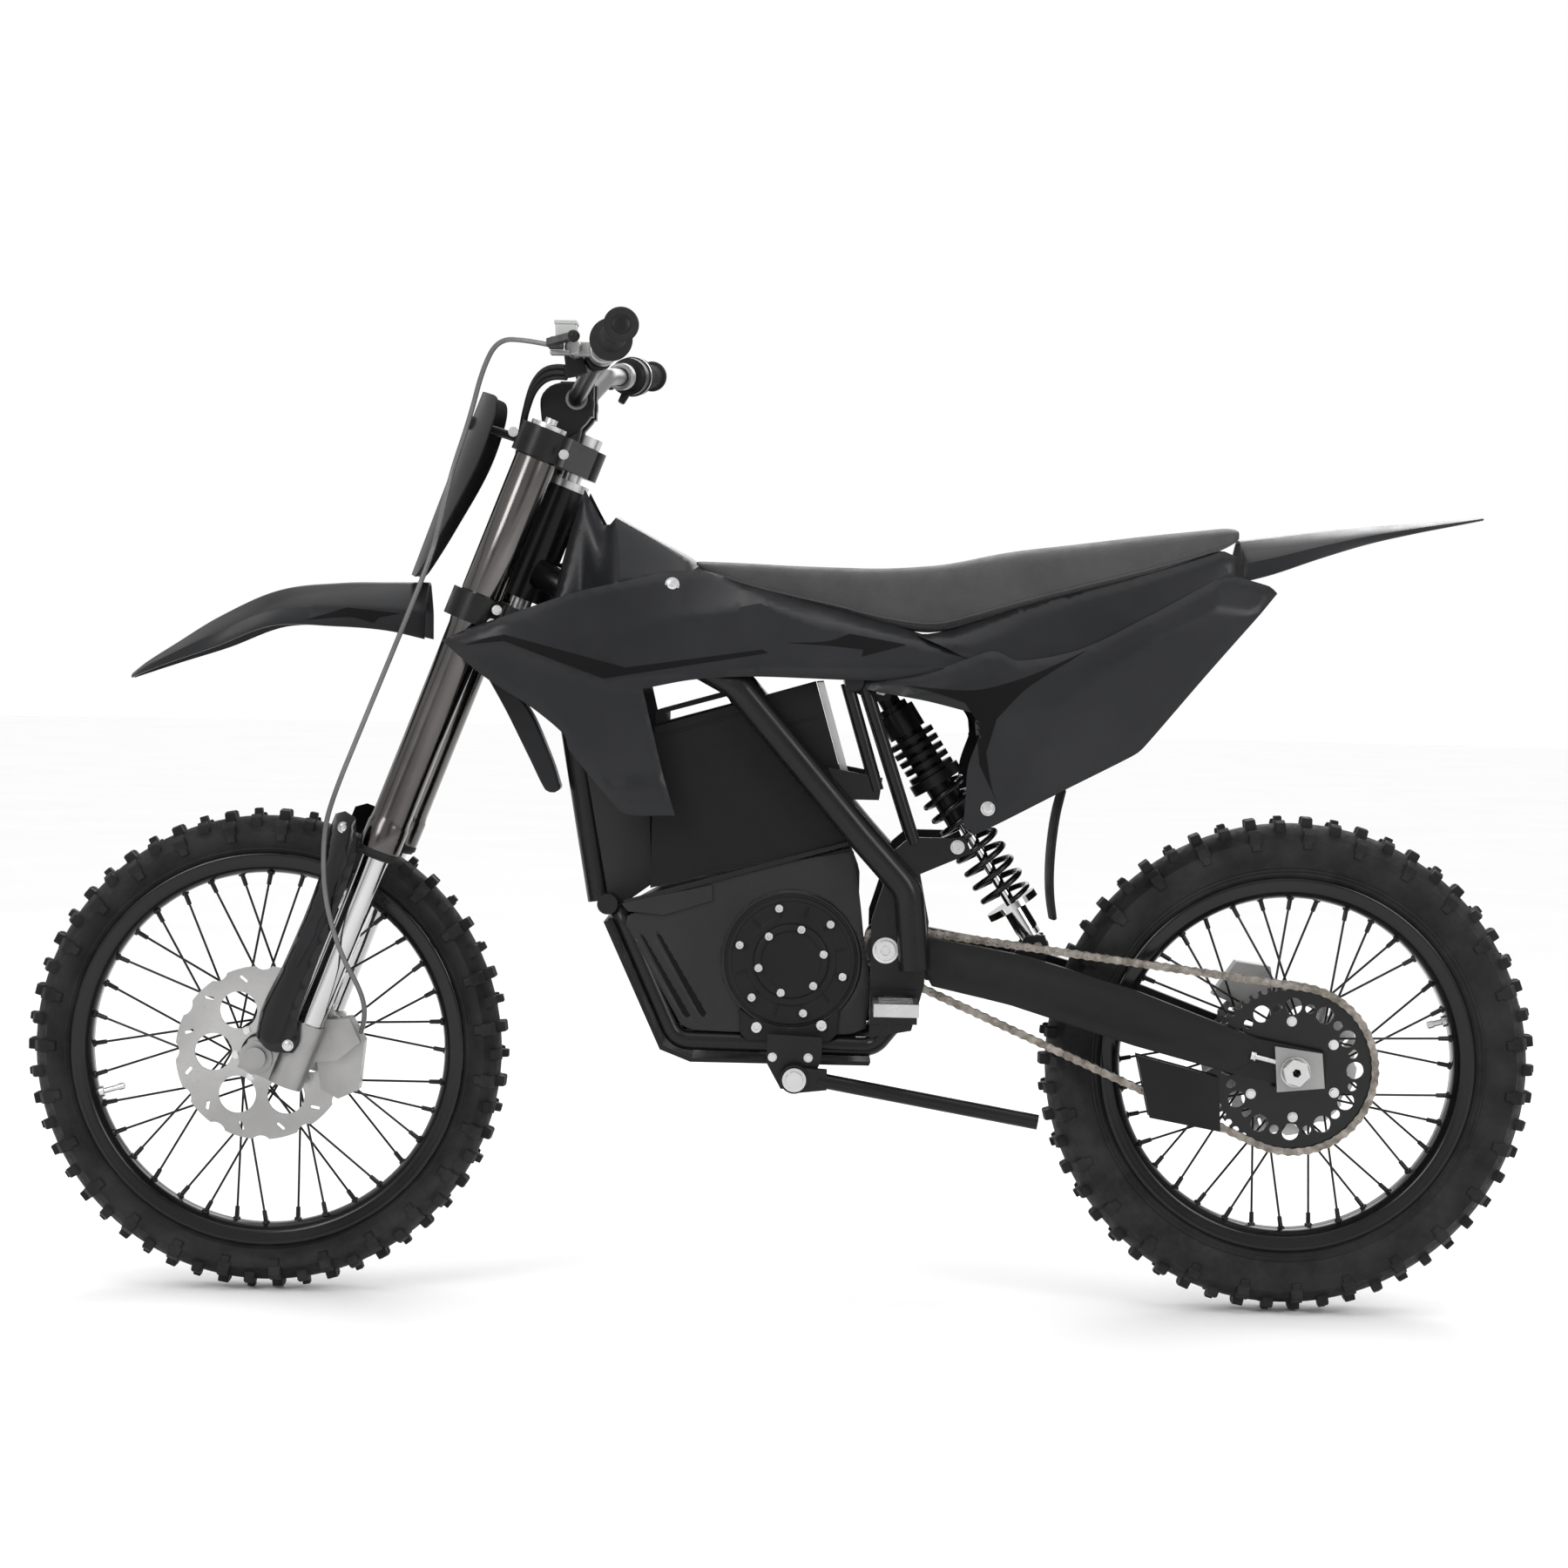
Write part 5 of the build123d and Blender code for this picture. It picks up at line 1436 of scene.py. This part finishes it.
def make_case_face():
    """The ribbed face of the cast housing round the motor."""
    grooves = (
        ((-178, 470), (-118, 372), 6.0, 2.6),
        ((-158, 474), (-98, 376), 6.0, 2.6),
        ((-196, 497), (-90, 512), 1.6, 1.6),
        ((88, 530), (100, 400), 1.6, 1.6),
        ((-90, 512), (-84, 352), 1.4, 1.4),
    )
    outline = [
        (-196, 498), (-198, 486), (-126, 362), (-112, 356), (-60, 354), (84, 354), (108, 362),
        (112, 420), (104, 470), (98, 520), (88, 586), (-20, 566), (-110, 540),
    ]
    face_plate("motor_case_face", outline, (MOTOR, 89.5), 87.6, 3.4, grooves)


# -------------------------------------------------------------- handlebar

def on_bar(side, across):
    """A point on a grip's axis at a distance across the bike."""
    start = Vector((-246, side * GRIP_START, 1192))
    end = Vector((-201, side * (GRIP_START + GRIP_SPAN), 1214))
    return start.lerp(end, (across - GRIP_START) / GRIP_SPAN)


def make_controls():
    """Everything on the handlebar, first of all the ribbed grips and their end plugs."""
    for side, body, name, node in (
        (-1, "steering", "left_grip", "grip_left"),
        (1, "throttle", "right_grip", "throttle_grip"),
    ):
        start = on_bar(side, 276 if side > 0 else 288)
        end = on_bar(side, 400)
        way = (end - start).normalized()
        long = (end - start).length
        lip = 12.5 if side > 0 else 0.0
        profile = [(0, BAR_BORE), (0, 24.0 if side < 0 else 15.5)]
        if side > 0:
            profile += [(lip, 15.5), (lip, 24.0)]
        profile += [(lip + 1.5, 26.0), (lip + 5.0, 26.0), (lip + 7.0, 20.0), (lip + 10, 16.4)]
        at = lip + 14
        while at < long - 14:
            profile += [(at, 16.4), (at + 0.8, 15.2), (at + 2.4, 15.2), (at + 3.2, 16.4)]
            at += 5.6
        profile += [(long - 9, 16.8), (long - 7, 20.5), (long - 2.5, 21.0), (long, 19.0)]
        profile += [(long, BAR_BORE)]
        grip = Build().lathe(start, way, profile, 40)
        grip.make(name, body, RUBBER, "rubber", sharp=40, replaced=(node,))
        cap = [(0, 11.0), (1.2, 11.0), (2.4, 8.6), (2.6, 4)]
        plug = Build().lathe(end - way, way, cap, 32, False)
        plug.make(name + "_plug", "steering", CONTROL_BLACK, "control_black")
    make_brakes()
    make_bar_pods()


def make_brakes():
    """Both brake cylinders on their bar clamps, with fluid tanks and hose ends."""
    masters = Build()
    tanks = Build()
    caps = Build()
    banjos = Build()
    for side in (-1, 1):
        centre = on_bar(side, 207)
        way = (on_bar(side, 218) - on_bar(side, 196)).normalized()
        clamp = [(0, BAR_BORE), (0, 16.5), (1.5, 18.0), (20.5, 18.0), (22, 16.5), (22, BAR_BORE)]
        masters.lathe(on_bar(side, 196), way, clamp, 36)
        base = Vector((centre.x - 36, side * 180, centre.z + 2))
        barrel = [(0, 8.0), (3, 10.5), (50, 10.5), (54, 9.0), (54, 6)]
        masters.lathe(base, (0, side, 0), barrel, 32, False)
        masters.block((centre.x - 24, side * 207, centre.z + 1), (22, 22, 17))
        pivot = Vector((centre.x - 50, side * 240, centre.z + 2))
        for up in (-8.4, 8.4):
            masters.block(pivot + Vector((0, 0, up)), (24, 22, 5.0))
        masters.lathe(base - Vector((0, side * 2, 0)), (0, -side, 0), [(0, 6), (10, 6)], 6, False)
        banjos.lathe(base + Vector((0, -side * 7, -5)), (0, 0, 1), [(0, 7.4), (9, 7.4)], 24, False)
        banjos.rod(base + Vector((0, -side * 7, 0)), base + Vector((-2, -side * 20, -8)), 3.6, 16)
        tanks.block((centre.x - 46, side * 200, centre.z + 22), (24, 38, 19, 1.08))
        caps.block((centre.x - 46, side * 200, centre.z + 33), (28, 42, 5))
    soften(masters.make(
        "brake_cylinders", "steering", CAST_ALLOY, "alloy", replaced=("brake_masters",)
    ), 1.6)
    soften(tanks.make("brake_tanks", "steering", BRIGHT_RESERVOIR, "alloy"), 3.0, 3)
    soften(caps.make("brake_tank_caps", "steering", BRIGHT_RESERVOIR, "alloy"), 1.2)
    banjos.make("brake_hose_ends", "steering", BOLT_STEEL, "alloy")


def make_bar_pods():
    """The throttle's cable drum on the right and the switch pod on the left."""
    drum = Build()
    start = on_bar(1, 240)
    way = (on_bar(1, 284) - start).normalized()
    drum.lathe(start, way, [
        (0, BAR_BORE), (0, 20), (2, 22.4), (6, 22.4), (7.5, 25.0), (30, 25.0), (31, 26.4),
        (42, 26.4), (44.4, 24.6), (44.4, 16.6), (8, 16.6), (8, BAR_BORE),
    ], 48)
    elbow = start + way * 16 + Vector((-4, 0, -22))
    drum.lathe(elbow, (-0.5, -0.2, -1), [(0, 6), (14, 5), (16, 4)], 20, False)
    drum.make(
        "throttle_drum", "steering", CONTROL_BLACK, "control_black", sharp=40,
        replaced=("bar_controls",),
    )
    ring = [(0, 26.0), (0, 27.2), (3.4, 27.2), (3.4, 26.0)]
    band = Build().lathe(start + way * 31.5, way, ring, 48)
    band.make("throttle_band", "steering", BOLT_STEEL, "control_black")
    pod = Build()
    inner = on_bar(-1, 142)
    outer = on_bar(-1, 164)
    way = (outer - inner).normalized()
    clamp = [(0, BAR_BORE), (0, 15.5), (1.5, 17.0), (20.8, 17.0), (22.3, 15.5), (22.3, BAR_BORE)]
    pod.lathe(inner, way, clamp, 36)
    leaning = (Vector((1, 0, 0.2)).normalized(), ACROSS, Vector((-0.2, 0, 1)).normalized())
    pod.block((inner.x - 27, -153, inner.z - 7), (25, 24, 30, 0.88), leaning)
    soften(pod.make("switch_pod", "steering", CONTROL_BLACK, "control_black"), 1.6)


# ------------------------------------------------------ hoses and cables

def make_hoses():
    """The front brake hose and the bundle of cables."""
    route = [
        (-292, -166, 1206), (-330, -158, 1214), (-368, -140, 1216), (-388, -124, 1180),
        (-404, -108, 1120), (-428, -96, 1050), (-438, -118, 990), (-446, -140, 945),
        (-490, -143, 830), (-530, -145, 728), (-562, -146, 646), (-574, -146, 600),
        (-573, -143, 520), (-553, -136, 448), (-524, -128, 396), (-522, -112, 362),
        (-530, -92, 344),
    ]
    line = hose("brake_line", route, BRAKE_HOSE_R, None, CLEAR_HOSE, ("front_brake_hose",))
    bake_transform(line)
    cables = ((0, 0, 4.6), (8, 3, 3.4), (-6, 6, 3.2), (3, -7, 3.2))
    for index, (dy, dz, radius) in enumerate(cables):
        route = [
            (-284, -122 + dy, 1178 + dz), (-304, -100 + dy, 1182 + dz), (-326, -78 + dy, 1168 + dz),
            (-338, -58 + dy / 2, 1138 + dz), (-345, -42 + dy / 2, 1104), (-350, -30 + dy / 2, 1070),
            (-352, -26 + dy / 2, 1052),
        ]
        own = ("control_cables",) if index == 0 else ()
        hose(f"cable_{index}", route, radius, "steering", HOSE, own)
    risers = Build()
    outline = [
        (-318, 1112), (-321, 1150), (-309, 1166), (-290, 1171), (-266, 1166), (-254, 1152),
        (-256, 1130), (-272, 1110), (-286, 1100),
    ]
    for side in (-1, 1):
        risers.slab(resample(outline, 6.0, 50.0), *sorted((side * 24, side * 48)))
    soften(risers.make("bar_riser_covers", "steering", CONTROL_BLACK, "anodised_black"), 2.0)


# ------------------------------------------------------------ small parts

def make_flap():
    """The curved rubber flap between the rear wheel and the shock."""
    line = [(352, 668), (344, 640), (339, 600), (337, 560), (339, 525), (344, 500)]
    verts = []
    steps = 10
    for index, (x, z) in enumerate(line):
        half = 44 - 3 * abs(index - 2)
        for k in range(steps + 1):
            t = -1 + 2 * k / steps
            verts.append((x + 5 * t * t, half * t, z))
    faces = grid_faces(len(line), steps + 1)
    flap = add("rubber_flap", verts, faces, "frame", RUBBER, "rubber", 60, ("mud_flap",))
    subdivide(flap, 2)
    thicken(flap, 4.5, 0)
    soften(flap, 1.0, 2, 50)


def make_blade():
    """The air deflector below the steering head."""
    outline = [
        (-386, 797), (-372, 795), (-352, 780), (-326, 748), (-300, 690), (-288, 655), (-296, 649),
        (-308, 652), (-330, 694), (-360, 752),
    ]
    blade = Build().slab(resample(outline, 6.0, 60.0), -20, 20)
    soften(blade.make("air_blade", "frame", PLASTIC, "body_plastic"), 3.0, 3)


def make_arm_faces():
    """Pressed faces on the swingarm's two beams, with a raised border."""
    edge = [
        (182, 476), (250, 466), (309, 455), (447, 416), (596, 362), (606, 338), (566, 320),
        (447, 350), (309, 391), (190, 418), (180, 440),
    ]
    inner = [
        (212, 456), (309, 438), (440, 402), (556, 354), (560, 342), (447, 366), (309, 408),
        (214, 430),
    ]
    border = resample(inner, 8.0, 40.0)
    tree = tree_of(border)

    def face(x, z):
        within = False
        for a, b in zip(border, border[1:] + border[:1]):
            if (a.y > z) != (b.y > z):
                if x < (b.x - a.x) * (z - a.y) / (b.y - a.y) + a.x:
                    within = not within
        return 93.6 - (min(1.0, away_from(tree, x, z) / 5.0) * 1.3 if within else 0.0)

    for side, label in SIDES:
        side_panel(
            f"arm_face_{label}", edge, face, 1.2, "rear_arm", ARM_PAINT, "arm_black", side, (),
            5.0, 3.0, 1.0, 40.0,
        )


def make_fasteners():
    """Every screw and bolt of the frame, and the nuts and adjusters of the rear axle."""
    heads = Build()
    socket = [(0, 5.4), (3.0, 5.4), (3.8, 4.6), (3.8, 2.6), (1.4, 2.4)]
    for radius, first, face in ((42, 13, -95.2), (68, 44, -91.6)):
        for index in range(6):
            place = on_axle(MOTOR, face) + around(first + 60 * index)[0] * radius
            heads.lathe(place, LEFTWARD, socket, 24, False)
    large = [(0, 7.0), (3.4, 7.0), (4.2, 6.2), (4.2, 3.4), (1.6, 3.2)]
    for x, z in ((-30, 361), (52, 365)):
        heads.lathe((x, -91.4, z), LEFTWARD, large, 24, False)
    flanged = [(0, 9), (1.4, 9), (1.5, 7), (5, 6.6), (5, 3.4), (3, 3.2)]
    pivot_nut = [(0, 16.5), (2.4, 16.5), (2.6, 13), (7.6, 12.4), (7.6, 6), (4.0, 5.6)]
    for side in (-1, 1):
        way = (0, side, 0)
        heads.lathe(on_axle(PIVOT, side * 104.2), way, pivot_nut, 36, False)
        heads.lathe((SHOCK_TOP.x, side * 23.2, SHOCK_TOP.z), way, [(0, 9), (6, 9)], 6, False)
        heads.lathe((218, side * 104.1, 595), way, flanged, 24, False)
    heads.rod((PIVOT[0], -104, PIVOT[1]), (PIVOT[0], 104, PIVOT[1]), 6.9, 24)
    heads.rod((SHOCK_TOP.x, -29, SHOCK_TOP.z), (SHOCK_TOP.x, 29, SHOCK_TOP.z), 5.9, 24)
    for x, y, z, side in PANEL_SCREWS:
        screw(heads, (x, y, z), side)
    heads.make(
        "frame_bolts", "frame", BOLT_STEEL, "bolt_steel", sharp=30, replaced=("frame_fasteners",)
    )
    stand = Build()
    for x, z in ((-9, 340), (14, 342), (38, 341), (-9, 326), (36, 326)):
        hex_head(stand, (x, -106.0 if z > 335 else -112.0, z), LEFTWARD, 4.6, 4.0)
    pivot = [(0, 15), (2.5, 15), (2.6, 11), (6.5, 10.6), (6.5, 5)]
    stand.lathe((19, -140, 301), LEFTWARD, pivot, 32, False)
    stand.make("stand_bolts", "frame", BOLT_STEEL, "frame_black", sharp=30)
    nuts = Build()
    for face, outer, tall, segments in ((-99.2, 19, 2.2, 40), (-101.4, 17.6, 11, 6)):
        ring = [(0, 5.6), (0, outer), (tall, outer), (tall, 5.6)]
        nuts.lathe(on_axle(REAR_AXLE, face), LEFTWARD, ring, segments)
    nuts.make("rear_axle_nut", "rear_arm", BOLT_STEEL, "steel", sharp=30)
    adjusters = Build()
    for side in (-1, 1):
        adjusters.rod((600, side * 95.5, 338), (626, side * 95.5, 332), 3.4, 16)
        hex_head(adjusters, (600, side * 95.5, 338), (-1, 0, 0.22), 5.4, 6.0)
    adjusters.make("chain_adjusters", "rear_arm", BOLT_STEEL, "steel")


# ------------------------------------------------------ carried-over nodes

FINISHES = (
    (FRAME_PAINT, "main_frame subframe kickstand"),
    (ALLOY, "head_bearings battery_cooling_strip fork_caps"),
    (BATTERY_BLACK, "battery_case battery_cells"),
    (CAST_BLACK, "motor_housing"),
    (STEEL, "motor_rotor steering_stem footpeg_left footpeg_right"),
    (CONTROL_BLACK, "seat_base skid_plate brake_lever_left brake_lever_right chain_guide"),
    (CHAIN_STEEL, "drive_sprocket"),
    (ANODISED, "fork_clamps front_hub rear_hub shock_body"),
    (BAR_GREY, "handlebar"),
    (CHROME, "fork_stanchions shock_rod"),
    (CAST_ALLOY, "axle_lugs front_caliper rear_axle rear_caliper"),
    (RIM_BLACK, "front_spokes rear_spokes rear_sprocket"),
    (DISC_STEEL, "front_disc rear_disc"),
    (ARM_PAINT, "swingarm"),
)
for finish, nodes in FINISHES:
    for node in nodes.split():
        paint(node, finish)

make_wheels()
make_chain()
make_fork()
make_shock()
make_fenders()
make_bodywork()
make_tank_cover()
make_seat()
make_plate()
make_guards()
make_hoses()
make_motor()
make_controls()
make_flap()
make_blade()
make_arm_faces()
make_fasteners()
